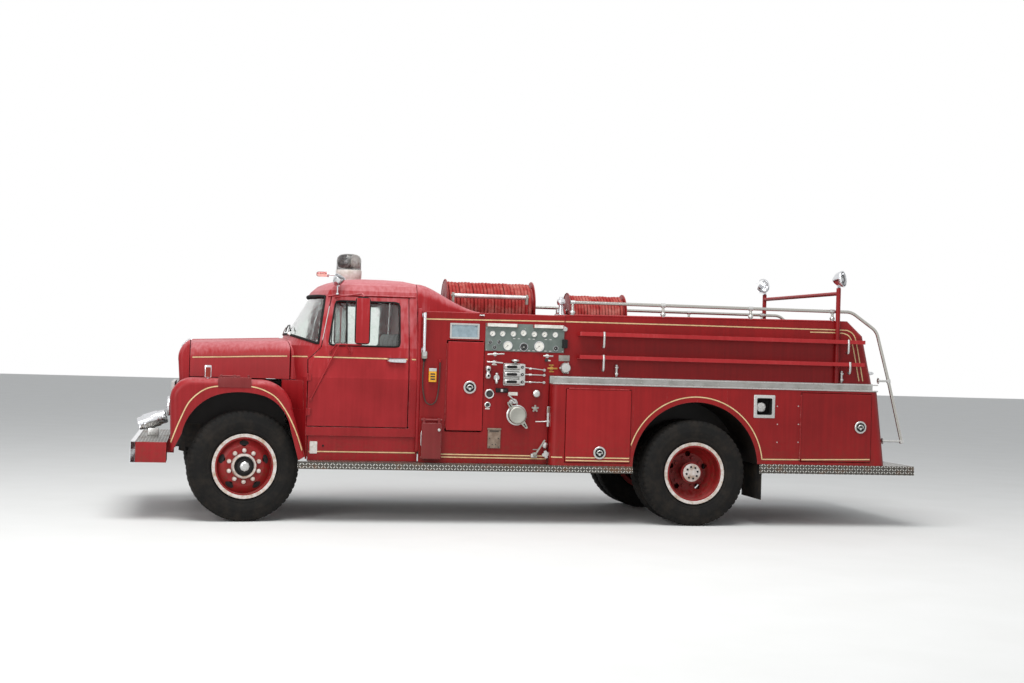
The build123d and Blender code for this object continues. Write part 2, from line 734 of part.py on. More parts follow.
def side_cutter(outline, near, far, mode=Mode.SUBTRACT):
    """Pushes a side outline through both sides, from the far to the near distance off the middle."""
    for side in (-1, 1):
        with BuildSketch(side_plane(side * far)) as shape:
            outline()
        extrude(shape.sketch, amount=side * (far - near), mode=mode)


def cab_solid(inset, mode, floor=CAB_SILL):
    cab_lower(inset, mode, floor)
    cab_middle(inset, mode)
    cab_upper(inset, mode)


def door_surface(z):
    """How far off the middle the cab's side is at a height."""
    if z < CAB_WAIST:
        return CAB_SILL_Y + (CAB_WAIST_Y - CAB_SILL_Y) * (z - CAB_SILL) / (CAB_WAIST - CAB_SILL)
    if z < CAB_BELT:
        return CAB_WAIST_Y - (CAB_WAIST_Y - CAB_BELT_Y) * (z - CAB_WAIST) / (CAB_BELT - CAB_WAIST)
    return CAB_BELT_Y - (CAB_BELT_Y - CAB_GUTTER_Y) * (z - CAB_BELT) / (CAB_GUTTER - CAB_BELT)


def screen_outline(shrink=0):
    """The wraparound windscreen from the side. Its foot falls towards the pillar."""
    with BuildLine() as outline:
        Polyline(
            *side_points(
                [
                    (300, 1742 + shrink), (400, 1736 + shrink), (688 - shrink, 1642 + shrink),
                    (750 - shrink, 2088 - shrink), (640, 2104 - shrink), (300, 2104 - shrink),
                ]
            ),
            close=True,
        )
    make_face(outline.edges())


# The hood's form, which the cowl continues up to the windscreen
def hood_section(half_width, top, inset, split=HOOD_SPLIT / 2):
    """Half of the hood's section on the left: a flat top, a round shoulder and a side."""
    w = half_width - inset
    t = top - inset
    r = HOOD_SHOULDER
    bend = r * (1 - math.sqrt(0.5))
    with BuildLine() as outline:
        Line((-split, t), (-w + r + 30, t - 22))
        ThreePointArc((-w + r + 30, t - 22), (-w + bend + 10, t - 26 - bend), (-w, t - r - 50))
        Line((-w, t - r - 50), (-w, HOOD_BOTTOM))
        Line((-w, HOOD_BOTTOM), (-split, HOOD_BOTTOM))
        Line((-split, HOOD_BOTTOM), (-split, t))
    make_face(outline.edges())


def seam_outline(gap):
    """Everything behind the hood's swept rear edge, on the left half seen from above."""
    seam = HOOD_SEAM + gap
    corner = HOOD_REAR + 10 + gap
    with BuildLine() as outline:
        ThreePointArc((fa(seam), 0), (fa(seam + 6), -400), (fa(corner), -COWL_Y))
        Line((fa(corner), -COWL_Y), (fa(640), -COWL_Y))
        Line((fa(640), -COWL_Y), (fa(640), 0))
        Line((fa(640), 0), (fa(seam), 0))
    return outline.edges()


def hood_form(inset, mode):
    with BuildSketch(cross_plane(HOOD_FRONT)) as nose:
        hood_section(HOOD_NOSE_Y, HOOD_NOSE_TOP, inset)
    with BuildSketch(cross_plane(HOOD_REAR)) as tail:
        hood_section(COWL_Y - 8, HOOD_REAR_TOP, inset)
    loft([nose.sketch, tail.sketch], mode=mode)


def cowl_form(inset, mode):
    """The hood's rear section carried back to the windscreen's foot, on the left."""
    with BuildSketch(cross_plane(300)) as front:
        hood_section(HOOD_NOSE_Y + (COWL_Y - 8 - HOOD_NOSE_Y) * (300 - HOOD_FRONT) / (HOOD_REAR - HOOD_FRONT),
            HOOD_NOSE_TOP + (HOOD_REAR_TOP - HOOD_NOSE_TOP) * (300 - HOOD_FRONT) / (HOOD_REAR - HOOD_FRONT), inset, 0)
    with BuildSketch(cross_plane(HOOD_REAR)) as middle:
        hood_section(COWL_Y - 8, HOOD_REAR_TOP, inset, 0)
    with BuildSketch(cross_plane(600)) as rear:
        hood_section(COWL_Y - 8 + 37, HOOD_REAR_TOP + 8, inset, 0)
    loft([front.sketch, middle.sketch, rear.sketch], ruled=True, mode=mode)


CAB_UNDER = CAB_FLOOR - CAB_WALL

with BuildPart() as cowl:
    cowl_form(0, Mode.ADD)
    cowl_form(HOOD_WALL, Mode.SUBTRACT)
    with BuildSketch(Plane.XY.offset(1000)) as behind:
        make_face(seam_outline(PANEL_GAP))
    extrude(behind.sketch, amount=900, mode=Mode.INTERSECT)
    mirror(about=Plane.XZ)

with BuildPart() as cab_shell:
    cab_solid(0, Mode.ADD)
    cab_roof(0, Mode.ADD)
    add(cowl.part)
    cab_solid(CAB_WALL, Mode.SUBTRACT, CAB_FLOOR)
    cab_roof(CAB_WALL, Mode.SUBTRACT)
    # The floor steps up between the sills to clear the frame
    block((CAB_FRONT - 60, CAB_REAR + 60), (-CAB_SILL_Y + 110, CAB_SILL_Y - 110), (CAB_SILL - 10, CAB_UNDER), mode=Mode.SUBTRACT)
    side_cutter(lambda: door_outline(DOOR_GAP), 690, 1100)
    with BuildSketch(side_plane(-1100)):
        screen_outline()
    extrude(amount=-2200, mode=Mode.SUBTRACT)
    for side in (-1, 1):
        for z in DOOR_HINGES:
            barrel = (side * (door_surface(z) - 3), side * DOOR_HINGE_Y)
            block((DOOR_HINGE_X - 12, DOOR_HINGE_X - 3), barrel, (z - 35, z + 35))
            with BuildSketch(Plane.XY.offset(z - 35)):
                with Locations((fa(DOOR_HINGE_X), side * DOOR_HINGE_Y)):
                    Circle(HINGE_PIN - 0.7)
            extrude(amount=70)
    # A step in the opening that the door's rear edge swings past
    for side in (-1, 1):
        block((DOOR_REAR, DOOR_REAR + DOOR_REAR_GAP), (side * 690, side * 1100), (DOOR_BOTTOM - DOOR_GAP, DOOR_TOP + DOOR_GAP), mode=Mode.SUBTRACT)
write(cab_shell, "cab_shell")

with BuildPart() as cab_glass:
    cab_upper(GLASS_DEPTH, Mode.ADD)
    cab_middle(GLASS_DEPTH, Mode.ADD)
    cab_upper(GLASS_DEPTH + GLASS_THICKNESS, Mode.SUBTRACT)
    cab_middle(GLASS_DEPTH + GLASS_THICKNESS, Mode.SUBTRACT)
    with BuildSketch(side_plane(-1100)):
        screen_outline()
    extrude(amount=-2200, mode=Mode.INTERSECT)
write(cab_glass, "cab_glass")

with BuildPart() as door_glass:
    cab_upper(GLASS_DEPTH, Mode.ADD)
    cab_upper(GLASS_DEPTH + GLASS_THICKNESS, Mode.SUBTRACT)
    with BuildSketch(side_plane(-1100)):
        window_outline()
    extrude(amount=-400, mode=Mode.INTERSECT)
write_pair(door_glass, "door_glass")

with BuildPart() as door:
    cab_solid(0, Mode.ADD)
    cab_solid(CAB_WALL, Mode.SUBTRACT)
    with BuildSketch(side_plane(-1100)):
        door_outline(0)
    extrude(amount=-400, mode=Mode.INTERSECT)
    with BuildSketch(side_plane(-1100)):
        window_outline()
    extrude(amount=-400, mode=Mode.SUBTRACT)
    for z in DOOR_HINGES:
        lug_x = DOOR_HINGE_X + HINGE_PIN - 0.7 + SEAT_GAP
        block((lug_x, lug_x + 24), (-door_surface(z) + 4, -DOOR_HINGE_Y - 4), (z - 30, z + 30))
    # Push-button handle on its two feet
    handle_y = -door_surface(1496) - SEAT_GAP
    block((1340, 1362), (handle_y, handle_y - 34), (1496, 1514))
    block((1470, 1492), (handle_y, handle_y - 34), (1496, 1514))
    block((1335, 1496), (handle_y - 30, handle_y - 46), (1492, 1518))
    # Mirror on a loop of tube, a bracket under it and a long stay down the door
    block((1005, 1125), (-1222, -1246), (1657, 2071))
    high_y = -door_surface(2076) - SEAT_GAP
    block((835, 859), (high_y, high_y - 14), (2076, 2092))
    foot_y = -door_surface(1556) - SEAT_GAP
    for station in (796, 987):
        block((station - 10, station + 10), (foot_y, foot_y - 12), (1556, 1580))
    stay_y = -door_surface(1134) - SEAT_GAP
    block((617, 637), (stay_y, stay_y - 12), (1112, 1134))
    tube([(fa(847), high_y - 8, 2084), (fa(1065), -1222, 2112), (fa(1065), -1222, 1641), (fa(894), MIRROR_FOOT_Y, 1641)], 8, 30)
    tube([(fa(796), foot_y - 7, 1570), (fa(851), MIRROR_FOOT_Y, 1641), (fa(936), MIRROR_FOOT_Y, 1641), (fa(987), foot_y - 7, 1570)], 7, 15)
    rod((fa(872), MIRROR_FOOT_Y, 1638), (fa(627), stay_y - 7, 1124), 7)
write_pair(door, "door")

with BuildPart() as seat:
    block((1010, 1500), (-820, 820), (1150, 1310))
    block((1440, 1556), (-820, 820), (1310 + SEAT_GAP, 1800))
    block((1030, 1480), (-790, 790), (CAB_FLOOR + SEAT_GAP, 1150 - SEAT_GAP))
write(seat, "seat")

with BuildPart() as steering_wheel:
    # Dashboard and column
    block((DASH_FRONT, 690), (-600, 600), (1400, 1590))
    block((600, 690), (-425, -355), (1330, 1402))
    column = Plane(origin=(fa(880), -390, 1560), x_dir=(0, 1, 0), z_dir=(0.62, 0, 0.785))
    with BuildSketch(column):
        Circle(26)
    extrude(amount=-530)
    with BuildSketch(column):
        Circle(38)
        for turn_at in (90, 210, 330):
            with Locations(Location((0, 0, 0), (0, 0, turn_at))):
                with Locations((110, 0)):
                    Rectangle(180, 26)
    extrude(amount=14)
    with BuildSketch(Plane(origin=column.origin + column.z_dir * 8, x_dir=column.z_dir, z_dir=column.y_dir)):
        with Locations((0, 210)):
            Circle(13)
    revolve(axis=Axis(column.origin, column.z_dir))
write(steering_wheel, "steering_wheel")


# Hood halves hinged on the middle line, and the nose
with BuildPart() as hood:
    hood_form(0, Mode.ADD)
    hood_form(HOOD_WALL, Mode.SUBTRACT)
    # The rear edge sweeps forward towards the middle
    with BuildSketch(Plane.XY.offset(1000)):
        with BuildLine():
            add(seam_outline(0))
        make_face()
    extrude(amount=900, mode=Mode.SUBTRACT)
write_pair(hood, "hood")

def nose_rim(edge):
    """The nose's outer curve, without its straight rear and foot."""
    middle = edge.center()
    return middle.Z > 1300 and middle.X < fa(HOOD_FRONT - PANEL_GAP) - 1


with BuildPart() as nose_panel:
    with BuildSketch(side_plane(-HOOD_NOSE_Y)):
        with BuildLine():
            low = RADIATOR_TOP + SEAT_GAP
            Line((fa(HOOD_FRONT - PANEL_GAP), low), (fa(HOOD_FRONT - PANEL_GAP), HOOD_NOSE_TOP - 2))
            ThreePointArc((fa(HOOD_FRONT - PANEL_GAP), HOOD_NOSE_TOP - 2), (fa(-560), 1580), (fa(NOSE_FRONT), 1440))
            Line((fa(NOSE_FRONT), 1440), (fa(NOSE_FRONT + 14), low))
            Line((fa(NOSE_FRONT + 14), low), (fa(HOOD_FRONT - PANEL_GAP), low))
        make_face()
    extrude(amount=-2 * HOOD_NOSE_Y)
    rims = nose_panel.edges().group_by(Axis.Y)
    for rim in (rims[0], rims[-1]):
        fillet(rim.filter_by(nose_rim), 40)
    # Hinge rod along the hood's middle line, back to the cowl
    slope = (HOOD_REAR_TOP - HOOD_NOSE_TOP) / (HOOD_REAR - HOOD_FRONT)
    along = Vector(1, 0, slope)
    foot = (fa(HOOD_FRONT - 30), 0, HOOD_NOSE_TOP - 30 * slope)
    with BuildSketch(Plane(origin=foot, x_dir=(0, 1, 0), z_dir=along)):
        Circle(HINGE_ROD)
    extrude(amount=HOOD_SEAM - HOOD_FRONT + 30)
write(nose_panel, "nose_panel")


# Front fenders
def fender_line(inset):
    """The fender's outer line from its front tip over the crown to its rear foot."""
    i = inset
    with BuildLine() as line:
        Line((fa(-627 + i), 633), (fa(-642 + i), 1080))
        ThreePointArc((fa(-642 + i), 1080), (fa(-592 + i * 0.8), 1236 - i * 0.6), (fa(-440), 1296 - i))
        Line((fa(-440), 1296 - i), (fa(150), 1290 - i))
        ThreePointArc((fa(150), 1290 - i), (fa(372 - i * 0.7), 1212 - i * 0.7), (fa(460 - i), 1030))
        Line((fa(460 - i), 1030), (fa(584 - i), 604))
    return line.edges()


def fender_form(inset):
    """The whole fender on the left before its arch is cut, closed below the wheel."""
    foot = 500
    with BuildSketch(side_plane(-FENDER_OUTER_Y + inset)) as form:
        with BuildLine() as outline:
            add(fender_line(inset))
            Line((fa(584 - inset), 604), (fa(584 - inset), foot))
            Line((fa(584 - inset), foot), (fa(-627 + inset), foot))
            Line((fa(-627 + inset), foot), (fa(-627 + inset), 633))
        make_face(outline.edges())
    extrude(form.sketch, amount=-(FENDER_OUTER_Y - FENDER_INNER_Y))


def fender_crown(edge):
    """The outer edge of the fender from its front foot over the top to its rear foot."""
    middle = edge.center()
    return middle.Y < -FENDER_OUTER_Y + FENDER_WALL + 1 and middle.Z > 700


with BuildPart() as fender_hollow:
    fender_form(FENDER_WALL)
    fillet(fender_hollow.edges().filter_by(fender_crown), FENDER_CROWN - FENDER_WALL)

with BuildPart() as fender:
    fender_form(0)
    fillet(fender.edges().filter_by(fender_crown), FENDER_CROWN)
    add(fender_hollow.part, mode=Mode.SUBTRACT)
    # Wheel arch
    with BuildSketch(side_plane(-FENDER_OUTER_Y - 10)) as arch:
        with BuildLine():
            Line((fa(584), 604), (fa(522), 570))
            Line((fa(522), 570), (fa(442), 860))
            ThreePointArc((fa(442), 860), (fa(366), 1030), (fa(200), 1150))
            ThreePointArc((fa(200), 1150), (fa(-10), 1181), (fa(-230), 1150))
            ThreePointArc((fa(-230), 1150), (fa(-425), 1015), (fa(-530), 795))
            Line((fa(-530), 795), (fa(-605), 640))
            Line((fa(-605), 640), (fa(-627), 633))
            Polyline(*side_points([(-627, 633), (-700, 633), (-700, 400), (700, 400), (700, 604), (584, 604)]))
        make_face()
    extrude(amount=-(FENDER_OUTER_Y - FENDER_INNER_Y + 20), mode=Mode.SUBTRACT)
    # Round seat of the headlamp
    with BuildSketch(cross_plane(-700)):
        with Locations((-HEADLAMP_Y, HEADLAMP_Z)):
            Circle(HEADLAMP_RADIUS + SEAT_GAP)
    extrude(amount=120, mode=Mode.SUBTRACT)
    # The cowl's side behind the fender, which sweeps out to the door
    with BuildSketch(Plane.XY.offset(1030)) as apron:
        with BuildLine():
            ThreePointArc((fa(372), -735), (fa(490), -850), (fa(592), -972))
            Line((fa(592), -972), (fa(592), -FENDER_INNER_Y))
            Line((fa(592), -FENDER_INNER_Y), (fa(372), -FENDER_INNER_Y))
            Line((fa(372), -FENDER_INNER_Y), (fa(372), -735))
        make_face()
    extrude(amount=HOOD_BOTTOM - PANEL_GAP - 1030)
    # The inner part stops at the cowl
    cab_lower(-SEAT_GAP, Mode.SUBTRACT)
    cab_middle(-SEAT_GAP, Mode.SUBTRACT)

with BuildPart() as fender_liner:
    with BuildSketch(side_plane(-FENDER_LINER[1])):
        with BuildLine():
            Polyline(
                *side_points(
                    [
                        (-560, FENDER_LINER_FOOT), (430, FENDER_LINER_FOOT), (400, 1040), (330, 1180),
                        (150, 1270), (-440, 1270), (-560, 1180),
                    ]
                ),
                close=True,
            )
        make_face()
    extrude(amount=-(FENDER_LINER[1] - FENDER_LINER[0]))

with BuildPart() as front_fenders:
    add(fender.part)
    mirror(about=Plane.XZ)
with BuildPart() as fender_liners:
    add(fender_liner.part)
    mirror(about=Plane.XZ)
write([front_fenders, fender_liners], "front_fenders")

# Grille between the headlamps, with its surround
with BuildPart() as grille:
    block((-645, -615), (-FENDER_INNER_Y + SEAT_GAP, FENDER_INNER_Y - SEAT_GAP), (GRILLE_BOTTOM - 40, 1246))
    block((-660, -600), (-GRILLE_HALF_WIDTH, GRILLE_HALF_WIDTH), (GRILLE_BOTTOM, GRILLE_TOP), mode=Mode.SUBTRACT)
    pitch = (GRILLE_TOP - GRILLE_BOTTOM) / GRILLE_BARS
    for bar in range(GRILLE_BARS):
        low = GRILLE_BOTTOM + pitch * (bar + 0.5) - 9
        block((-648, -622), (-GRILLE_HALF_WIDTH - 4, GRILLE_HALF_WIDTH + 4), (low, low + 18))
write(grille, "grille")

# Bumper channel and the platform behind it
with BuildPart() as front_bumper:
    block((-983, -983 + BUMPER_DEPTH), (-BUMPER_HALF_WIDTH, BUMPER_HALF_WIDTH), (BUMPER_TOP - BUMPER_HEIGHT, BUMPER_TOP))
    fillet(front_bumper.edges().filter_by(Axis.Y).group_by(Axis.X)[0], 14)
    block((-983 + 8, -983 + BUMPER_DEPTH + 1), (-BUMPER_HALF_WIDTH - 1, BUMPER_HALF_WIDTH + 1), (BUMPER_TOP - BUMPER_HEIGHT + 8, BUMPER_TOP - 8), mode=Mode.SUBTRACT)
write(front_bumper, "front_bumper")

with BuildPart() as bumper_platform:
    front = -983 + BUMPER_DEPTH
    for side in (-1, 1):
        block((front, PLATFORM_REAR), (side * 700, side * (BUMPER_HALF_WIDTH - 8)), (BUMPER_TOP - BUMPER_HEIGHT + 8, BUMPER_TOP - 14))
        block((front, FRAME_FRONT), (side * 350, side * 430), (FRAME_TOP - FRAME_HEIGHT - 60, BUMPER_TOP - 14))
    # Three deck plates with narrow seams over the inner supports
    edge = BUMPER_HALF_WIDTH - 8
    for low, high in ((-edge, -391), (-389, 389), (391, edge)):
        block((front, PLATFORM_REAR), (low, high), (BUMPER_TOP - 14, BUMPER_TOP - 8))
write(bumper_platform, "bumper_platform")

# Pump house between the cab and the hose body
def body_top(station):
    """The body's top line rises slowly towards the rear."""
    share = (station - HOUSE_FRONT) / (BODY_TAIL[0][0] - HOUSE_FRONT)
    return DECK_Z + (BODY_RAIL_REAR - DECK_Z) * share


with BuildPart() as pump_house:
    for side in (-1, 1):
        y = (side * (HOUSE_Y - HOUSE_WALL), side * HOUSE_Y)
        block((HOUSE_FRONT, HOUSE_LOWER_REAR), y, (BOARD_TOP + SEAT_GAP, LEDGE_TOP + 4))
        block((HOUSE_FRONT, HOUSE_REAR), y, (LEDGE_TOP + 2, DECK_Z))
    inner = HOUSE_Y - HOUSE_WALL + 1
    block((HOUSE_FRONT, HOUSE_FRONT + 24), (-inner, inner), (FRAME_TOP + SEAT_GAP, DECK_Z))
    block((HOUSE_FRONT, HOUSE_REAR), (-inner, inner), (DECK_Z - 24, DECK_Z))
    block(WELL, (-WELL_HALF_WIDTH, WELL_HALF_WIDTH), (DECK_Z - 30, DECK_Z + 5), mode=Mode.SUBTRACT)
    # Well for the reel
    for side in (-1, 1):
        y = (side * WELL_HALF_WIDTH, side * (WELL_HALF_WIDTH + 18))
        block((WELL[0] - 18, WELL[1]), y, (1760, DECK_Z - 20))
    block((WELL[0] - 18, WELL[0]), (-WELL_HALF_WIDTH - 1, WELL_HALF_WIDTH + 1), (1760, DECK_Z - 20))
    block((WELL[0] - 18, WELL[1]), (-WELL_HALF_WIDTH - 1, WELL_HALF_WIDTH + 1), (1760, 1778))
    # Tall hatches on both sides with a shallow locker behind each
    for side in (-1, 1):
        y = side * (HOUSE_Y - HOUSE_WALL)
        x0, x1, z0, z1 = TALL_DOOR
        block((x0 - 30, x1 + 8), (y, y - side * HATCH_DEPTH), (z0 - 30, z1 + 30))
        block((x0 - 12, x1 - 10), (y + side * 60, y - side * (HATCH_DEPTH - 18)), (z0 - 12, z1 + 12), mode=Mode.SUBTRACT)
        block((x0 - PANEL_GAP, x1 + PANEL_GAP), (side * (HOUSE_Y - HOUSE_WALL - 1), side * (HOUSE_Y + 5)), (z0 - PANEL_GAP, z1 + PANEL_GAP), mode=Mode.SUBTRACT)
    # Hinge rods of the tall hatches
    for side in (-1, 1):
        x0, x1, z0, z1 = TALL_DOOR
        y = side * (HOUSE_Y + 10)
        block((x0 - HINGE_SET - 8, x0 - HINGE_SET), (side * (HOUSE_Y - 1), y), (z0 + 20, z1 - 20))
        with BuildSketch(Plane.XY.offset(z0 + 20)):
            with Locations((fa(x0 - HINGE_SET), y)):
                Circle(HINGE_PIN)
        extrude(amount=z1 - z0 - 40)
write(pump_house, "pump_house")

with BuildPart() as hatch:
    x0, x1, z0, z1 = TALL_DOOR
    block((x0, x1), (-HOUSE_Y - 12, -HOUSE_Y + HOUSE_WALL - 8), (z0, z1))
    fillet(hatch.edges().group_by(Axis.Y)[0], 4)
    with BuildSketch(side_plane(-HOUSE_Y - 12)):
        with Locations((fa(2108), 1270)):
            Circle(62)
    extrude(amount=10)
write_pair(hatch, "tall_door")

with BuildPart() as gauge_panel:
    x0, x1, z0, z1 = GAUGE_PANEL
    block((x0, x1), (-HOUSE_Y - 8, -HOUSE_Y), (z0, z1))
    # Lamp hoods along the top and the rims of the gauges
    for front, rear in ((2250, 2540), (2700, 2985)):
        block((front, rear), (-HOUSE_Y - 8, -HOUSE_Y - 42), (z1 - 30, z1 - 1))
    for x, z, r in GAUGES:
        with BuildSketch(side_plane(-HOUSE_Y - 8)):
            with Locations((fa(x), z)):
                Circle(r)
        extrude(amount=14)
write(gauge_panel, "gauge_panel")

with BuildPart() as pump_controls:
    for x, z, r, reach in CONTROL_KNOBS:
        with BuildSketch(side_plane(-HOUSE_Y)):
            with Locations((fa(x), z)):
                Circle(r)
        extrude(amount=reach)
    for x, z, width, height, reach in CONTROL_PLATES:
        block((x - width / 2, x + width / 2), (-HOUSE_Y, -HOUSE_Y - reach), (z - height / 2, z + height / 2))
write(pump_controls, "pump_controls")

with BuildPart() as suction_intakes:
    for side in (-1, 1):
        with BuildSketch(side_plane(side * HOUSE_Y)):
            with Locations((fa(2561), 1023)):
                Circle(96)
        extrude(amount=-side * 12)
        with BuildSketch(side_plane(side * (HOUSE_Y + 12))):
            with Locations((fa(2561), 1023)):
                Circle(78)
        extrude(amount=-side * 70)
        for turn_at in (40, 220):
            with BuildSketch(side_plane(side * (HOUSE_Y + 34))):
                with Locations(Location((fa(2561), 1023, 0), (0, 0, -turn_at))):
                    with Locations((110, 0)):
                        Rectangle(90, 30)
            extrude(amount=-side * 30)
write(suction_intakes, "suction_intakes")

with BuildPart() as side_fittings:
    # Folding step with its hinge, cord plug, switch box and grab handle beside the cab
    block((1647, 1847), (-HOUSE_Y, -HOUSE_Y - 70), (BOARD_TOP + 34, 980))
    block((1712, 1784), (-HOUSE_Y, -HOUSE_Y - 34), (1315, 1445))
    block((1640, 1690), (-HOUSE_Y, -HOUSE_Y - 52), (1530, 1600))
    # Gland of the cord's far end
    block((1803, 1827), (-HOUSE_Y, -HOUSE_Y - 36), (1501, 1530))
    for z in (1613, 1944):
        block((1646, 1668), (-HOUSE_Y, -HOUSE_Y - 60), (z - 14, z + 14))
    with BuildSketch(Plane.XY.offset(1600)):
        with Locations((fa(1657), -HOUSE_Y - 62)):
            Circle(15)
    extrude(amount=356)
write(side_fittings, "side_fittings")

CORD_POINTS = (
    (1664, 1529), (1657, 1440), (1654, 1345), (1658, 1255), (1672, 1175), (1690, 1122),
    (1735, 1098), (1780, 1122), (1798, 1175), (1808, 1255), (1812, 1335), (1814, 1415), (1815, 1500),
)


def bend_radii(points):
    """Each bend is as large as its two runs allow."""
    radii = []
    for before, here, after in zip(points, points[1:], points[2:]):
        first = Vector(here[0] - before[0], here[1] - before[1], 0)
        second = Vector(after[0] - here[0], after[1] - here[1], 0)
        half = math.radians(first.get_angle(second)) / 2
        radii.append(0.45 * min(first.length, second.length) / math.tan(half))
    return radii


cord_y = -HOUSE_Y - 24
cord_radii = bend_radii(CORD_POINTS)
print("cord bend radii", [round(r) for r in cord_radii])
with BuildPart() as handset_cord:
    with BuildLine(side_plane(cord_y)) as route:
        FilletPolyline(*side_points(CORD_POINTS), radius=cord_radii)
    start = route.wire() @ 0
    with BuildSketch(Plane(origin=start, z_dir=route.wire() % 0)):
        Circle(CORD_RADIUS)
    sweep(path=route.wire())
print("cord length", route.wire().length, "volume check", handset_cord.part.volume / (math.pi * CORD_RADIUS**2))
write(handset_cord, "handset_cord")


# Side boxes
def box_outline():
    with BuildLine() as outline:
        foot = ARCH_RADIUS
        low = BOARD_TOP + SEAT_GAP
        lift = TAILBOARD_TOP + SEAT_GAP
        front_foot = WHEELBASE - math.sqrt(foot**2 - (ARCH_CENTRE_Z - low) ** 2)
        rear_foot = WHEELBASE + math.sqrt(foot**2 - (ARCH_CENTRE_Z - lift) ** 2)
        Line((fa(BOX_FRONT), low), (fa(front_foot), low))
        ThreePointArc((fa(front_foot), low), (fa(WHEELBASE), ARCH_CENTRE_Z + foot), (fa(rear_foot), lift))
        Line((fa(rear_foot), lift), (fa(BOX_REAR_FOOT), lift))
        Line((fa(BOX_REAR_FOOT), lift), (fa(BOX_REAR_TOP), BOX_TOP))
        Line((fa(BOX_REAR_TOP), BOX_TOP), (fa(BOX_FRONT), BOX_TOP))
        Line((fa(BOX_FRONT), BOX_TOP), (fa(BOX_FRONT), low))
    return outline


with BuildPart() as side_box:
    with BuildSketch(side_plane(-BOX_Y)) as form:
        make_face(box_outline().edges())
    extrude(amount=-(BOX_Y - BOX_INNER_Y))
    corners = side_box.edges().filter_by(lambda e: abs(e.center().Y + BOX_Y) < 1 and abs((e @ 0).Z - (e @ 1).Z) > 600)
    fillet([e for e in corners if e.center().X < fa(3000)], BOX_CORNER)
    corners = side_box.edges().filter_by(lambda e: abs(e.center().Y + BOX_Y) < 1 and abs((e @ 0).Z - (e @ 1).Z) > 600)
    fillet([e for e in corners if e.center().X > fa(6100)], TAIL_CORNER)
    with BuildSketch(side_plane(-BOX_Y + BOX_WALL)) as hollow:
        make_face(box_outline().edges())
        offset(amount=-BOX_WALL, mode=Mode.REPLACE)
    extrude(amount=-(BOX_Y - BOX_INNER_Y - 2 * BOX_WALL), mode=Mode.SUBTRACT)
    for x0, x1, z0, z1 in (MID_DOOR, REAR_DOOR):
        g = PANEL_GAP
        block((x0 - g, x1 + g), (-BOX_Y - 5, -BOX_Y + BOX_WALL + 5), (z0 - g, z1 + g), mode=Mode.SUBTRACT)
    x0, x1, z0, z1 = FILLER
    block((x0, x1), (-BOX_Y - 5, -BOX_Y + BOX_WALL + 5), (z0, z1), mode=Mode.SUBTRACT)
    # Hinge rods: along the top of the front door, and down the front edge of the rear one
    y = -BOX_Y - 8
    x0, x1, z0, z1 = MID_DOOR
    block((x0 + 20, x1 - 20), (-BOX_Y + 1, y), (z1 + HINGE_SET, z1 + HINGE_SET + 8))
    with BuildSketch(cross_plane(x0 + 20)):
        with Locations((y, z1 + HINGE_SET)):
            Circle(HINGE_PIN)
    extrude(amount=x1 - x0 - 40)
    x0, x1, z0, z1 = REAR_DOOR
    block((x0 - HINGE_SET - 8, x0 - HINGE_SET), (-BOX_Y + 1, y), (z0 + 20, z1 - 20))
    with BuildSketch(Plane.XY.offset(z0 + 20)):
        with Locations((fa(x0 - HINGE_SET), y)):
            Circle(HINGE_PIN)
    extrude(amount=z1 - z0 - 40)
# The box is made up from a front locker, the wheel arch and a rear locker
box_sections = []
for front, rear in zip(BOX_JOINTS, BOX_JOINTS[1:]):
    with BuildPart() as section:
        add(side_box.part)
        block((front, rear), (-BOX_Y - 60, 0), (0, 2000), mode=Mode.INTERSECT)
    box_sections.append(section)
with BuildPart() as arch_liner:
    block((3690, 4896), (-BOX_INNER_Y, -BOX_INNER_Y + 16), (FRAME_TOP + 5, BOX_TOP))
write_pair([*box_sections, arch_liner], "side_box")

with BuildPart() as kick_panels:
    for side in (-1, 1):
        block((614, 1636), (side * 936, side * 950), (BOARD_TOP + SEAT_GAP, CAB_SILL - SEAT_GAP))
write(kick_panels, "kick_panels")

with BuildPart() as rear_panel:
    low = TAILBOARD_TOP + SEAT_GAP
    with BuildSketch(side_plane(-BOX_INNER_Y + SEAT_GAP)):
        with BuildLine():
            Polyline(
                *side_points([(BOX_REAR_FOOT - 4, low), (BOX_REAR_TOP - 4, BOX_TOP), (BOX_REAR_TOP - 16, BOX_TOP), (BOX_REAR_FOOT - 16, low)]),
                close=True,
            )
        make_face()
    extrude(amount=-2 * (BOX_INNER_Y - SEAT_GAP))
write(rear_panel, "rear_panel")

for (x0, x1, z0, z1), latch, label in ((MID_DOOR, (3347, 688), "mid_door"), (REAR_DOOR, (5964, 974), "rear_door")):
    with BuildPart() as box_door:
        block((x0, x1), (-BOX_Y - 10, -BOX_Y + 14), (z0, z1))
        fillet(box_door.edges().group_by(Axis.Y)[0], 4)
        with BuildSketch(side_plane(-BOX_Y - 10)):
            with Locations((fa(latch[0]), latch[1])):
                Circle(58)
        extrude(amount=10)
    write_pair(box_door, label)

with BuildPart() as fuel_filler:
    x0, x1, z0, z1 = FILLER
    wall = 12
    block((x0, x1), (-BOX_Y - 8, -BOX_Y + 110), (z0, z1))
    block((x0 + wall, x1 - wall), (-BOX_Y - 10, -BOX_Y + 100), (z0 + wall, z1 - wall), mode=Mode.SUBTRACT)
    with BuildSketch(side_plane(-BOX_Y + 101)):
        with Locations((fa((x0 + x1) / 2), (z0 + z1) / 2)):
            Circle(48)
    extrude(amount=60)
write(fuel_filler, "fuel_filler")

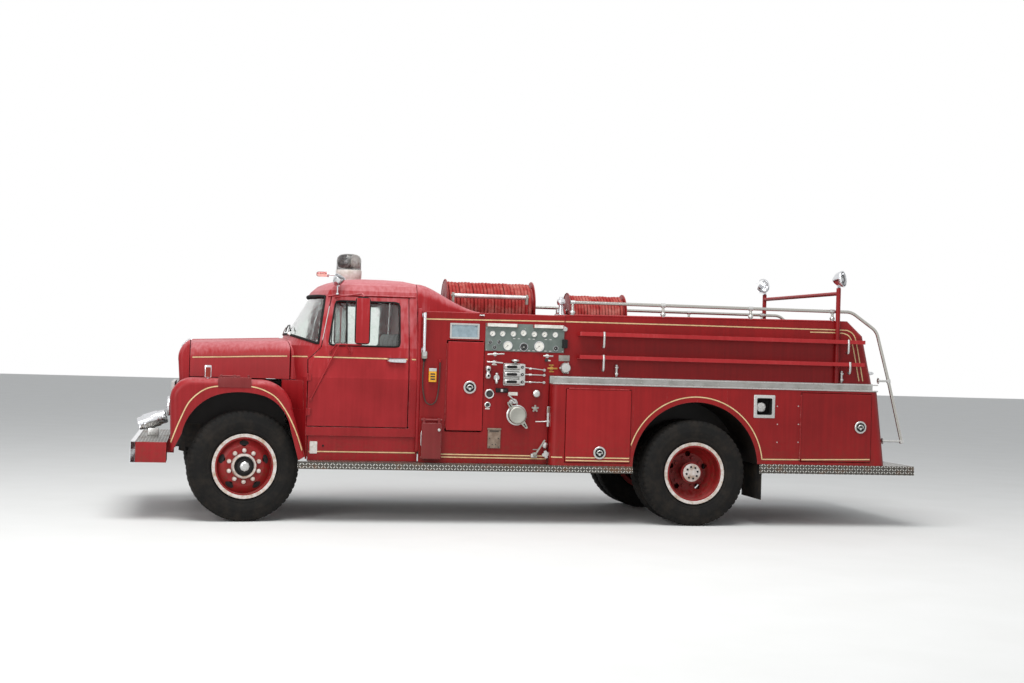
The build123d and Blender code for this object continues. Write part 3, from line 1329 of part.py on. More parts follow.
with BuildPart() as body_trim:
    for side in (-1, 1):
        block((BOX_FRONT, BOX_REAR_TOP - 20), (side * (BODY_Y + 2), side * (BOX_Y + 6)), (BOX_TOP + 0.5, BOX_TOP + 7))
        block((BOX_FRONT, BOX_REAR_TOP - 20), (side * (BODY_Y + 2), side * (BODY_Y + 10)), (BOX_TOP + 7, LEDGE_TOP))
write(body_trim, "body_trim")

# Hose body above the boxes
with BuildPart() as hose_body:
    with BuildSketch(side_plane(-BODY_Y)):
        with BuildLine():
            Polyline(
                *side_points(
                    [(HOUSE_REAR + SEAT_GAP, BOX_TOP + SEAT_GAP), (HOUSE_REAR + SEAT_GAP, body_top(HOUSE_REAR)), *BODY_TAIL, (BODY_TAIL[-1][0] + 14, BOX_TOP + SEAT_GAP)]
                ),
                close=True,
            )
        make_face()
    extrude(amount=-2 * BODY_Y)
    rear = hose_body.edges().filter_by(lambda e: abs(abs(e.center().Y) - BODY_Y) < 1 and e.center().X > fa(5960) and e.center().Z > 1340)
    fillet(rear.filter_by(lambda e: (e @ 0).X - (e @ 1).X > 1 or (e @ 1).X - (e @ 0).X > 1), TAIL_CORNER)
    inner = BODY_Y - BODY_WALL
    block((HOUSE_REAR + 28, 6300), (-inner, inner), (HOSE_BED_FLOOR, 2300), mode=Mode.SUBTRACT)
    block((HOUSE_REAR - 5, HOUSE_REAR + 40), (-WELL_HALF_WIDTH, WELL_HALF_WIDTH), (1760, 2100), mode=Mode.SUBTRACT)
    block((HOUSE_REAR - 5, 6300), (-BOX_INNER_Y + 10, BOX_INNER_Y - 10), (BOX_TOP - 10, HOSE_BED_FLOOR - 30), mode=Mode.SUBTRACT)
    for side in (-1, 1):
        block((HOUSE_REAR + 30, 6110), (side * (BOX_INNER_Y + 16), side * inner), (BOX_TOP - 10, HOSE_BED_FLOOR - 24), mode=Mode.SUBTRACT)
write(hose_body, "hose_body")

with BuildPart() as ladder_shelves:
    for side in (-1, 1):
        for z in SHELF_HEIGHTS:
            block((SHELF_FRONT, SHELF_REAR), (side * BODY_Y, side * SHELF_Y), (z - 3, z + 3))
            block((SHELF_FRONT, SHELF_REAR), (side * (SHELF_Y - 6), side * SHELF_Y), (z + 2, z + 34))
            with BuildSketch(Plane.XY.offset(z - 5)):
                with Locations((fa(5742), side * (BODY_Y + 24))):
                    Circle(22 + SEAT_GAP)
            extrude(amount=10, mode=Mode.SUBTRACT)
write(ladder_shelves, "ladder_shelves")

with BuildPart() as tread_boards:
    for side in (-1, 1):
        y = (side * BOARD_INNER_Y, side * BOX_Y)
        edge = (side * (BOX_Y - PLATE), side * BOX_Y)
        block((612, BOARD_REAR), y, (BOARD_TOP - PLATE, BOARD_TOP))
        block((BOARD_FRONT, BOARD_REAR), (side * (BOX_Y - 40), side * BOX_Y), (BOARD_TOP - PLATE, BOARD_TOP))
        block((BOARD_FRONT, BOARD_REAR), edge, (BOARD_TOP - BOARD_EDGE, BOARD_TOP))
        block((TAILBOARD_FRONT, 6262), y, (TAILBOARD_TOP - PLATE, TAILBOARD_TOP))
        block((TAILBOARD_FRONT, 6262), edge, (TAILBOARD_TOP - 88, TAILBOARD_TOP))
        for station in (700, 1500, 2300, 3100, 3600, 5000, 5500, 6000):
            top = BOARD_TOP if station < TAILBOARD_FRONT else TAILBOARD_TOP
            arm = (station - 20, station + 20)
            block(arm, (side * (FRAME_Y - 22), side * (BOX_Y - 60)), (top - 60, top - PLATE))
            block(arm, (side * (FRAME_Y - 22), side * (FRAME_Y - 10)), (top - 60, FRAME_TOP - FRAME_HEIGHT))
with BuildPart() as tailboard:
    block((6262, 6533), (-BOX_Y, BOX_Y), (TAILBOARD_TOP - PLATE, TAILBOARD_TOP))
    block((6533 - PLATE, 6533), (-BOX_Y, BOX_Y), (TAILBOARD_TOP - 88, TAILBOARD_TOP))
    for side in (-1, 1):
        block((6262, 6533), (side * (BOX_Y - PLATE), side * BOX_Y), (TAILBOARD_TOP - 88, TAILBOARD_TOP))
write([tread_boards, tailboard], "tread_boards")



# Rails, pylons, reels and lamps
with BuildPart() as handrails:
    for side in (-1, 1):
        y = side * (BODY_Y - 18)
        tube(
            [(fa(3060), y, 2106), (fa(5900), y, 2106), (fa(6150), side * (BODY_Y + 20), 1925), (fa(6270), side * (BODY_Y + 60), 1443), (fa(6420), side * (BODY_Y + 80), 828)],
            16, 150,
        )
        for station in (3080, 3975, 4859, 5700):
            with BuildSketch(Plane.XY.offset(body_top(station) + SEAT_GAP)):
                with Locations((fa(station), y)):
                    Circle(13)
            extrude(until=Until.NEXT)
write(handrails, "handrails")

with BuildPart() as light_pylons:
    for side in (-1, 1):
        y = side * (BODY_Y + 24)
        with BuildSketch(Plane.XY.offset(LEDGE_TOP)):
            with Locations((fa(5742), y)):
                Circle(22)
        extrude(amount=2335 - LEDGE_TOP)
    with BuildSketch(Plane(origin=(fa(5742), 0, 2282), x_dir=(1, 0, 0), z_dir=(0, 1, 0))):
        Circle(19)
    extrude(amount=BODY_Y + 20, both=True)
write(light_pylons, "light_pylons")

with BuildPart() as reel_stands:
    for x0, x1, z, r in (REEL_FRONT, REEL_REAR):
        for low, high in ((x0 - 30, x0 - 14), (x1 + 14, x1 + 30)):
            floor = 1778 if x0 == REEL_FRONT[0] else HOSE_BED_FLOOR
            block((low, high), (-150, 150), (floor, z + 60))
        with BuildSketch(cross_plane(x0 - 32)):
            with Locations((0, z)):
                Circle(REEL_SHAFT)
        extrude(amount=x1 - x0 + 64)
    # Roller along the well's edge on two cast brackets
    for low, high in ((1990, 2012), (2718, 2740)):
        block((low, high), (-WELL_HALF_WIDTH + SEAT_GAP, -ROLLER_Y + 30), (DECK_Z - 70, ROLLER_Z + 30))
    with BuildSketch(cross_plane(2012 - 1)):
        with Locations((-ROLLER_Y, ROLLER_Z)):
            Circle(22)
    extrude(amount=708)
write(reel_stands, "reel_stands")

for (x0, x1, z, r), label in ((REEL_FRONT, "reel_front"), (REEL_REAR, "reel_rear")):
    with BuildPart() as reel:
        with BuildSketch(cross_plane(x0)):
            with Locations((0, z)):
                Circle(r)
        extrude(amount=12)
        with BuildSketch(cross_plane(x1 - 12)):
            with Locations((0, z)):
                Circle(r)
        extrude(amount=12)
        with BuildSketch(cross_plane(x0 + 11)):
            with Locations((0, z)):
                Circle(r - 26)
        extrude(amount=x1 - x0 - 22)
        with BuildSketch(cross_plane(x0 - 2)):
            with Locations((0, z)):
                Circle(REEL_SHAFT + SEAT_GAP)
        extrude(amount=x1 - x0 + 4, mode=Mode.SUBTRACT)
    write(reel, label)

with BuildPart() as lamps:
    # Beacon base on the cab roof, headlamps, roof and pylon lamps
    with BuildSketch(Plane.XY.offset(CAB_ROOF + 0.5)):
        with Locations((fa(1030), 0)):
            Circle(128)
    extrude(amount=2382 - CAB_ROOF)
    for side in (-1, 1):
        with BuildSketch(cross_plane(-612)):
            with Locations((side * HEADLAMP_Y, HEADLAMP_Z)):
                Circle(HEADLAMP_RADIUS)
        extrude(amount=-48)
        with Locations((fa(5742), side * (BODY_Y + 24), 2335 + 70 + SEAT_GAP)):
            Sphere(70)
    # Turn signals on the fenders
    for side in (-1, 1):
        with BuildSketch(cross_plane(-342)):
            with Locations((side * 1000, 1380)):
                Circle(38)
        extrude(amount=62)
        block((-322, -298), (side * 990, side * 1010), (1295, 1346))
    # Spotlight above the left pillar and an amber lamp at the front of the roof
    with Locations((fa(858), -862, 2240)):
        Sphere(60)
    rod((fa(858), -835, 2110), (fa(858), -850, 2196), 8)
    block((844, 872), (-811.2, -845), (2110, 2122))
    with BuildSketch(cross_plane(690)):
        with Locations((-300, 2318)):
            Circle(26)
    extrude(amount=118)
    rod((fa(800), -300, 2318), (fa(880), -300, 2318), 10)
    rod((fa(876), -300, 2252), (fa(876), -300, 2322), 10)
    # Siren on the platform behind the bumper
    siren = Plane(origin=(fa(-950), -100, 822), x_dir=(0, 1, 0), z_dir=(0.95, 0, 0.31))
    for along, length, radius in ((0, 60, 60), (55, 150, 76), (200, 76, 66)):
        with BuildSketch(siren.offset(along)):
            Circle(radius)
        extrude(amount=length)
    block((-860, -760), (-140, -60), (BUMPER_TOP - 8 + SEAT_GAP, BUMPER_TOP + 74))
write(lamps, "lamps")

with BuildPart() as beacon_dome:
    with BuildSketch(Plane.XY.offset(2382.5)):
        with Locations((fa(1030), 0)):
            Circle(122)
    extrude(amount=160)
    fillet(beacon_dome.edges().group_by(Axis.Z)[-1], 50)
write(beacon_dome, "beacon_dome")

def fairing_section(station, top, round_y, round_z):
    """A low arched section across the deck whose outer corners are rounded."""
    low = DECK_Z + 0.5
    half = CAB_GUTTER_Y
    with BuildLine() as outline:
        Line((-half, low), (-half, top - round_z))
        ThreePointArc((-half, top - round_z), (-half + round_y * 0.29, top - round_z * 0.29), (-half + round_y, top))
        Line((-half + round_y, top), (half - round_y, top))
        ThreePointArc((half - round_y, top), (half - round_y * 0.29, top - round_z * 0.29), (half, top - round_z))
        Line((half, top - round_z), (half, low))
        Line((half, low), (-half, low))
    make_face(outline.edges())


with BuildPart() as roof_fairing:
    sections = []
    for station, top, round_y, round_z in FAIRING_SECTIONS:
        with BuildSketch(cross_plane(station)) as section:
            fairing_section(station, top, round_y, round_z)
        sections.append(section.sketch)
    loft(sections)
    block((WELL[0] - 60, 2400), (-WELL_HALF_WIDTH, WELL_HALF_WIDTH), (1900, 2400), mode=Mode.SUBTRACT)
write(roof_fairing, "roof_fairing")

with BuildPart() as mud_flaps:
    for side in (-1, 1):
        block((4960, 4968), (side * 600, side * 1150), (260, TAILBOARD_TOP - 90))
        block((4956, 4972), (side * 600, side * 1150), (TAILBOARD_TOP - 100, TAILBOARD_TOP - PLATE - SEAT_GAP))
write(mud_flaps, "mud_flaps")
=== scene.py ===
import math
import random

import bmesh
import bpy
from mathutils import Matrix, Vector
from mathutils.bvhtree import BVHTree


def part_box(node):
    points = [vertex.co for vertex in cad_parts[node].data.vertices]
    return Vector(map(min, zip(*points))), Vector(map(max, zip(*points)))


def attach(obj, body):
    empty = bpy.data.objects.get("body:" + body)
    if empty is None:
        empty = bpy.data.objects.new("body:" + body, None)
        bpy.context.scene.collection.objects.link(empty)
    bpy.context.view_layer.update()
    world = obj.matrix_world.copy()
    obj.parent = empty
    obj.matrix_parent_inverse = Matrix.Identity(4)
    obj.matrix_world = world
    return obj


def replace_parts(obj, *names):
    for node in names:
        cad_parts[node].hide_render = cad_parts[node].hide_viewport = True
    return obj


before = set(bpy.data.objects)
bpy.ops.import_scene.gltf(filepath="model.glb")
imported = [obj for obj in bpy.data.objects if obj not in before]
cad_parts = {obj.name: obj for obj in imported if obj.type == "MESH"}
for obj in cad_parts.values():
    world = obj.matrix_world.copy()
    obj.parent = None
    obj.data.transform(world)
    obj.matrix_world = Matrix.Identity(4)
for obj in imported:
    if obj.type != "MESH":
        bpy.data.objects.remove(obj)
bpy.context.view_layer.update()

print("frame loaded:", len(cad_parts), "nodes")

# The nose points to -X and the left side to -Y. Stations are metres back from the front axle.
frontAxleX = -2.7665
houseY = 1.040
bodyY = 1.034
sides = ((-1, "left"), (1, "right"))
scene = bpy.context.scene
link = scene.collection.objects.link


# ---- camera ----
# A long lens 15 m off the left side, turned a little towards the rear, with the horizon not quite level
camera = {"place": (-3.1095, -15.875, 1.608), "yaw": 10.84, "pitch": 0.41, "roll": 1.66, "lens": 56.25}
yaw, pitch, roll = (math.radians(camera[turn]) for turn in ("yaw", "pitch", "roll"))
level = Vector((math.cos(yaw), -math.sin(yaw), 0))
ahead = Vector((math.sin(yaw), math.cos(yaw), 0)) * math.cos(pitch) + Vector((0, 0, math.sin(pitch)))
above = level.cross(ahead)
axes = (level * math.cos(roll) + above * math.sin(roll), above * math.cos(roll) - level * math.sin(roll), -ahead)
cameraData = bpy.data.cameras.new("camera")
cameraData.lens, cameraData.sensor_width, cameraData.clip_end = camera["lens"], 36, 200
scene.camera = bpy.data.objects.new("camera", cameraData)
scene.camera.matrix_world = Matrix.Translation(camera["place"]) @ Matrix(axes).transposed().to_4x4()
link(scene.camera)
scene.view_settings.view_transform = "Standard"


# ---- colours and finishes ----
def paint(hexText):
    channels = [int(hexText[i:i + 2], 16) / 255 for i in (1, 3, 5)]
    return tuple(c / 12.92 if c <= 0.04045 else ((c + 0.055) / 1.055) ** 2.4 for c in channels) + (1.0,)


def addNode(tree, kind, inputs=(), **settings):
    node = tree.nodes.new("ShaderNode" + kind)
    for name, value in settings.items():
        setattr(node, name, value)
    # inputs are a dictionary of sockets, or the values of the first sockets in their order;
    # a node given as a value stands for its first output
    for socket, value in inputs.items() if isinstance(inputs, dict) else enumerate(inputs):
        if isinstance(value, bpy.types.Node):
            value = value.outputs[0]
        if isinstance(value, bpy.types.NodeSocket):
            tree.links.new(value, node.inputs[socket])
        else:
            node.inputs[socket].default_value = value
    return node


def newFinish(name, **shaderValues):
    finish = bpy.data.materials.new(name)
    finish.use_nodes = True
    tree = finish.node_tree
    tree.nodes.clear()
    shader = addNode(tree, "BsdfPrincipled", {key.replace("_", " "): value for key, value in shaderValues.items()})
    addNode(tree, "OutputMaterial", {0: shader})
    place = addNode(tree, "TexCoord").outputs["Object"]
    return finish, tree, shader, place


# Alkyd enamel sprayed on steel, decades in the sun: chalky pink in clouds, with rain streaks, brown splash low down,
# a slight orange peel and rubbed edges. Painted light from above: paler on faces that look up and higher up, deep red
# elsewhere.
def fadedEnamelWithPaintedLight(name, deep, faded, chalk, bleach, rust=0.35, paintedLightUpHigh=0.0, arch=None):
    finish, tree, shader, place = newFinish(name, IOR=1.5, Specular_IOR_Level=0.28)
    facing = addNode(tree, "SeparateXYZ", {0: addNode(tree, "NewGeometry").outputs["Normal"]})
    # painted light from above: faces that look up are made paler, over the real sun fading
    upward = addNode(tree, "MapRange", (facing.outputs[2], 0.05, 0.85, 0, 0.40))
    patches = addNode(tree, "TexNoise",
                      {"Vector": place, "Scale": 2.2, "Detail": 5, "Roughness": 0.6})   # 450 mm clouds
    patchShift = addNode(tree, "MapRange", (patches, 0.3, 0.7, -0.16, 0.16))
    narrow = addNode(tree, "Mapping",
                     {"Vector": place, "Scale": (34, 34, 1.3)})                          # 30 mm wide streaks
    streaks = addNode(tree, "TexNoise", {"Vector": narrow, "Scale": 1, "Detail": 3})
    streakShift = addNode(tree, "MapRange", (streaks, 0.35, 0.7, -0.07, 0.11))
    sumA = addNode(tree, "Math", (upward, patchShift), operation="ADD")
    sumB = addNode(tree, "Math", (sumA, streakShift), operation="ADD")
    height = addNode(tree, "SeparateXYZ", {0: place})
    # painted light from above: the paint grows paler with height, from 1.2 m up to 2.15 m, on top of the base fading
    sun = addNode(tree, "MapRange", (height.outputs[2], 1.2, 2.15, bleach, bleach + paintedLightUpHigh))
    # the sum of real fading and the painted light from above
    fade = addNode(tree, "Math", (sumB, sun), operation="ADD", use_clamp=True)
    lowMix = addNode(tree, "MapRange", (fade, 0, 0.5))
    highMix = addNode(tree, "MapRange", (fade, 0.5, 1))
    body = addNode(tree, "Mix", {0: lowMix, 6: paint(deep), 7: paint(faded)}, data_type="RGBA")
    bleached = addNode(tree, "Mix", {0: highMix, 6: body.outputs[2], 7: paint(chalk)}, data_type="RGBA")
    splashed = addNode(tree, "MapRange", (height.outputs[2], 0.92, 0.55, 0, rust))
    spatter = addNode(tree, "TexNoise", {"Vector": place, "Scale": 26, "Detail": 6, "Roughness": 0.7})
    splashSpots = addNode(tree, "MapRange", (spatter, 0.44, 0.66))
    splash = addNode(tree, "Math", (splashed, splashSpots), operation="MULTIPLY")
    dirty = addNode(tree, "Mix", {0: splash, 6: bleached.outputs[2], 7: paint("#5a3a28")}, data_type="RGBA")
    rounded = addNode(tree, "Bevel", {"Radius": 0.004}, samples=4)
    apart = addNode(tree, "VectorMath", {0: rounded, 1: addNode(tree, "NewGeometry").outputs["Normal"]},
                    operation="DOT_PRODUCT")
    edge = addNode(tree, "MapRange", (apart.outputs["Value"], 0.985, 0.86, 0, 0.55))
    edgeWear = addNode(tree, "Math", (edge, splashSpots), operation="MULTIPLY")
    worn = addNode(tree, "Mix", {0: edgeWear, 6: dirty.outputs[2], 7: paint("#c98f88")}, data_type="RGBA")
    coat = worn.outputs[2]
    if arch:
        # painted shade in the wheel arch: black wherever a face looks towards the wheel, and on the arch's inner wall
        spread = addNode(tree, "VectorMath", {0: place, 1: (arch[0], 0, arch[1])}, operation="SUBTRACT")
        level = addNode(tree, "VectorMath", {0: spread, 1: (1, 0, 1)}, operation="MULTIPLY")
        outward = addNode(tree, "VectorMath", {0: level}, operation="NORMALIZE")
        away = addNode(tree, "VectorMath", {0: outward, 1: addNode(tree, "NewGeometry").outputs["True Normal"]},
                       operation="DOT_PRODUCT")
        inwards = addNode(tree, "Math", (away.outputs["Value"], -0.3), operation="LESS_THAN")
        near = addNode(tree, "Math", {0: addNode(tree, "VectorMath", {0: level}, operation="LENGTH").outputs["Value"],
                                      1: arch[2]}, operation="LESS_THAN")
        deepIn = addNode(tree, "Math", {0: addNode(tree, "Math", {0: height.outputs[1]}, operation="ABSOLUTE"),
                                        1: arch[3]}, operation="LESS_THAN")
        either = addNode(tree, "Math", (inwards, deepIn), operation="MAXIMUM")
        archShade = addNode(tree, "Math", (either, near), operation="MULTIPLY")
        coat = addNode(tree, "Mix", {0: archShade, 6: coat, 7: paint("#1a1411")}, data_type="RGBA").outputs[2]
    tree.links.new(coat, shader.inputs["Base Color"])
    gloss = addNode(tree, "MapRange", (fade, 0, 1, 0.34, 0.56))
    tree.links.new(gloss.outputs[0], shader.inputs["Roughness"])
    peel = addNode(tree, "TexNoise",
                   {"Vector": place, "Scale": 160, "Detail": 1})                        # 6 mm orange peel
    dents = addNode(tree, "TexNoise",
                    {"Vector": place, "Scale": 3.6, "Detail": 2})                       # sheet steel, never flat
    wavy = addNode(tree, "Bump", {"Height": dents, "Distance": 0.003, "Strength": 0.5, "Normal": rounded})
    skin = addNode(tree, "Bump", {"Height": peel, "Distance": 0.0004, "Strength": 0.35, "Normal": wavy})
    tree.links.new(skin.outputs[0], shader.inputs["Normal"])
    return finish


# the cab's and the body's upper parts are painted paler, as light from above
cabEnamel = fadedEnamelWithPaintedLight("cab red alkyd enamel, sun bleached, with painted top light", "#7d0f13", "#991d22", "#bd777b", 0.26, paintedLightUpHigh=0.30)
# the front wheel arch painted black as shade
fenderEnamel = fadedEnamelWithPaintedLight("fender red alkyd enamel, sun bleached", "#7d0f13", "#981c21", "#bd777b", 0.26,
                              arch=(-2.7665, 0.505, 0.705, 0.605))
bodyEnamel = fadedEnamelWithPaintedLight("body red alkyd enamel, weathered, with painted top light", "#730a0c", "#8c1315", "#b25052", 0.20, paintedLightUpHigh=0.10)
# the rear wheel arch painted black as shade
boxEnamel = fadedEnamelWithPaintedLight("locker red alkyd enamel, weathered", "#760b0d", "#901416", "#b25052", 0.24,
                           arch=(1.5265, 0.565, 0.70, 0.56))
hatchEnamel = fadedEnamelWithPaintedLight("hatch red alkyd enamel, chalked, with painted top light", "#800d10", "#981a1c", "#bb5a5d", 0.28)
wheelEnamel = fadedEnamelWithPaintedLight("wheel red enamel, dusty, with painted top light", "#780e10", "#8e1d1f", "#ad6460", 0.30, 0.5)
brownRed = fadedEnamelWithPaintedLight("bracket red enamel, weathered brown, with painted top light", "#66191a", "#7a2a2a", "#8f4a48", 0.3)
shelfEnamel = fadedEnamelWithPaintedLight("shelf red alkyd enamel, chalked on top", "#8c1417", "#a5282b", "#c9696c", 0.40)


# Nickel-chrome plate on pressed steel: bright and cool, a little milky, with fine pits that dull it in spots.
def platedChrome(name, tone, roughness, pits):
    finish, tree, shader, place = newFinish(name, Metallic=1.0)
    cloud = addNode(tree, "TexNoise", {"Vector": place, "Scale": 60, "Detail": 5})
    dull = addNode(tree, "MapRange", (cloud, 0.4, 0.75, roughness, roughness + pits))
    tree.links.new(dull.outputs[0], shader.inputs["Roughness"])
    tint = addNode(tree, "MapRange", (cloud, 0.5, 0.8, 0, 0.45))
    tarnish = addNode(tree, "Mix", {0: tint, 6: paint(tone), 7: paint("#8f8a82")}, data_type="RGBA")
    tree.links.new(tarnish.outputs[2], shader.inputs["Base Color"])
    return finish


chrome = platedChrome("chrome plated steel, pitted", "#dcdde0", 0.1, 0.22)
dullChrome = platedChrome("chrome plated casting, dulled", "#c4c4c2", 0.26, 0.3)
polishedTube = platedChrome("stainless tube, polished", "#b4b2ac", 0.2, 0.16)


# Rolled aluminium extrusion, mill finish: pale, drawn lengthwise in fine lines, oxidised in grey clouds.
def millAluminium(name, tone="#b9b9b6"):
    finish, tree, shader, place = newFinish(name, Metallic=0.85)
    drawn = addNode(tree, "Mapping", {"Vector": place, "Scale": (3, 320, 320)})                           # 3 mm lines
    lines = addNode(tree, "TexNoise", {"Vector": drawn, "Scale": 1, "Detail": 2})
    cloud = addNode(tree, "TexNoise", {"Vector": place, "Scale": 9, "Detail": 6})
    oxide = addNode(tree, "MapRange", (cloud, 0.4, 0.7, 0, 0.6))
    tonal = addNode(tree, "Mix", {0: oxide, 6: paint(tone), 7: paint("#8d8b84")}, data_type="RGBA")
    tree.links.new(tonal.outputs[2], shader.inputs["Base Color"])
    rough = addNode(tree, "MapRange", (lines, 0.3, 0.7, 0.34, 0.56))
    tree.links.new(rough.outputs[0], shader.inputs["Roughness"])
    relief = addNode(tree, "Bump", {"Height": lines, "Distance": 0.0002, "Strength": 0.4})
    tree.links.new(relief.outputs[0], shader.inputs["Normal"])
    return finish


trimAluminium = millAluminium("aluminium extrusion, mill finish")
capAluminium = millAluminium("aluminium casting, machined", "#a7a79f")
rollerZinc = millAluminium("zinc sprayed tube, worn bright", "#d4d4d2")


# Aluminium tread plate, rolled: raised lozenges every 28 mm, turned left and right by turns,
# with rust wept on from above.
def treadPlate(name):
    finish, tree, shader, place = newFinish(name, Metallic=0.9)
    axes = addNode(tree, "SeparateXYZ", {0: place})
    across = addNode(tree, "Math", (axes.outputs[1], axes.outputs[2]), operation="ADD")
    cell = 0.028
    u = addNode(tree, "Math", (axes, cell), operation="DIVIDE").outputs[0]
    v = addNode(tree, "Math", (across, cell), operation="DIVIDE").outputs[0]
    uCell = addNode(tree, "Math", {0: u}, operation="FLOOR").outputs[0]
    vCell = addNode(tree, "Math", {0: v}, operation="FLOOR").outputs[0]
    uIn = addNode(tree, "Math", {0: addNode(tree, "Math", {0: u}, operation="FRACT"), 1: 0.5},
                  operation="SUBTRACT").outputs[0]
    vIn = addNode(tree, "Math", {0: addNode(tree, "Math", {0: v}, operation="FRACT"), 1: 0.5},
                  operation="SUBTRACT").outputs[0]
    both = addNode(tree, "Math", (uCell, vCell), operation="ADD").outputs[0]
    odd = addNode(tree, "Math", (both, 2.0), operation="FLOORED_MODULO").outputs[0]
    sign = addNode(tree, "MapRange", {"Value": odd, "To Min": -1, "To Max": 1}).outputs[0]
    turnedV = addNode(tree, "Math", (vIn, sign), operation="MULTIPLY").outputs[0]
    along = addNode(tree, "Math", (uIn, turnedV), operation="ADD").outputs[0]
    side = addNode(tree, "Math", (uIn, turnedV), operation="SUBTRACT").outputs[0]
    alongSquare = addNode(tree, "Math", {0: addNode(tree, "Math", (along, 0.62), operation="DIVIDE"), 1: 2},
                          operation="POWER").outputs[0]
    sideSquare = addNode(tree, "Math", {0: addNode(tree, "Math", (side, 0.2), operation="DIVIDE"), 1: 2},
                         operation="POWER").outputs[0]
    reach = addNode(tree, "Math", (alongSquare, sideSquare), operation="ADD").outputs[0]
    lozenge = addNode(tree, "MapRange", (reach, 1.15, 0.55)).outputs[0]
    weep = addNode(tree, "Mapping", {"Vector": place, "Scale": (3.2, 1, 6)})
    weepNoise = addNode(tree, "TexNoise", {"Vector": weep, "Scale": 1.6, "Detail": 8, "Roughness": 0.62})
    rusty = addNode(tree, "MapRange", (weepNoise, 0.52, 0.72, 0, 0.85))
    base = addNode(tree, "Mix", {0: lozenge, 6: paint("#56534e"), 7: paint("#d6d5d0")}, data_type="RGBA")
    stained = addNode(tree, "Mix", {0: rusty, 6: base.outputs[2], 7: paint("#7c5130")}, data_type="RGBA")
    tree.links.new(stained.outputs[2], shader.inputs["Base Color"])
    dull = addNode(tree, "MapRange", {"Value": rusty, "To Min": 0.38, "To Max": 0.8})
    tree.links.new(dull.outputs[0], shader.inputs["Roughness"])
    relief = addNode(tree, "Bump", {"Height": lozenge, "Distance": 0.002, "Strength": 0.9})
    tree.links.new(relief.outputs[0], shader.inputs["Normal"])
    return finish


treadMetal = treadPlate("aluminium tread plate, rust stained")


# Vulcanised tyre rubber, weathered grey, with road dust caked where it has stood in the grass.
def weatheredRubber(name, tone, dust, dusty, fine=240):
    finish, tree, shader, place = newFinish(name, IOR=1.5, Roughness=0.82, Specular_IOR_Level=0.25)
    cake = addNode(tree, "TexNoise", {"Vector": place, "Scale": 7, "Detail": 9, "Roughness": 0.7})
    amount = addNode(tree, "MapRange", (cake, 0.44, 0.72, 0, dusty))
    mixed = addNode(tree, "Mix", {0: amount, 6: paint(tone), 7: paint(dust)}, data_type="RGBA")
    tree.links.new(mixed.outputs[2], shader.inputs["Base Color"])
    grain = addNode(tree, "TexNoise", {"Vector": place, "Scale": fine, "Detail": 3})
    relief = addNode(tree, "Bump", {"Height": grain, "Distance": 0.0006, "Strength": 0.5})
    tree.links.new(relief.outputs[0], shader.inputs["Normal"])
    return finish


tyreRubber = weatheredRubber("tyre rubber, weathered", "#0e0d0c", "#322b24", 0.55)
sealRubber = weatheredRubber("extruded seal rubber, perished", "#141414", "#3a3733", 0.4)
flapRubber = weatheredRubber("moulded rubber sheet, muddy", "#191817", "#4a3d30", 0.6)
cordRubber = weatheredRubber("cable sheath rubber, perished brown", "#42302c", "#6a5048", 0.6)
hoseRubber = weatheredRubber("booster hose rubber, red, chalked", "#9c2f2c", "#c98478", 0.75, 400)
handleRubber = weatheredRubber("phenolic moulding, black", "#161616", "#3c3a38", 0.3)


# Air-drying chassis enamel and oily iron: black-brown, uneven, grit stuck in old oil.
def grimyIron(name, tone, grime, gloss):
    finish, tree, shader, place = newFinish(name, IOR=1.5, Roughness=gloss)
    grit = addNode(tree, "TexNoise", {"Vector": place, "Scale": 18, "Detail": 8, "Roughness": 0.7})
    amount = addNode(tree, "MapRange", (grit, 0.42, 0.68))
    mixed = addNode(tree, "Mix", {0: amount, 6: paint(tone), 7: paint(grime)}, data_type="RGBA")
    tree.links.new(mixed.outputs[2], shader.inputs["Base Color"])
    relief = addNode(tree, "Bump", {"Height": grit, "Distance": 0.0015, "Strength": 0.4})
    tree.links.new(relief.outputs[0], shader.inputs["Normal"])
    return finish


chassisEnamel = grimyIron("chassis enamel, road grime", "#161514", "#3b3026", 0.6)
castIron = grimyIron("cast iron, oily", "#242321", "#40362c", 0.5)
brownPlate = grimyIron("lacquered steel plate, browned", "#6d5a4c", "#8d7c6c", 0.55)
greyPaint = grimyIron("grey cast housing, painted", "#7c7a74", "#9a968c", 0.5)
whiteEnamel = grimyIron("white enamel, yellowed", "#dcdad4", "#b9b3a6", 0.4)
yellowEnamel = grimyIron("yellow enamel", "#e0a21a", "#c78a12", 0.45)
agedBrass = grimyIron("brass casting, tarnished", "#b98b3a", "#8a6a2c", 0.4)
goldLeaf = grimyIron("gold size striping, faded", "#dcb98a", "#c49a6c", 0.5)
dialWhite = grimyIron("printed dial, cream", "#e4e2da", "#d2cfc4", 0.45)
dialBlack = grimyIron("printed dial, black", "#1c1d1e", "#2a2b2c", 0.4)
inkBlack = grimyIron("screen ink, black", "#1a1a1a", "#2c2c2c", 0.6)
hammerGrey = grimyIron("hammer-finish enamel, green grey", "#66706a", "#59645e", 0.42)
shadowSteel = grimyIron("unpainted steel in shade", "#0d0c0c", "#1c1714", 0.8)
dashEnamel = grimyIron("wrinkle enamel, red brown", "#6b1c1e", "#7f2c2c", 0.6)
rimPaint = grimyIron("aluminium paint, brushed on steel", "#cfc9c5", "#a3876c", 0.38)
cardGlass = grimyIron("glass over a plain card", "#8d9ea6", "#75858c", 0.2)


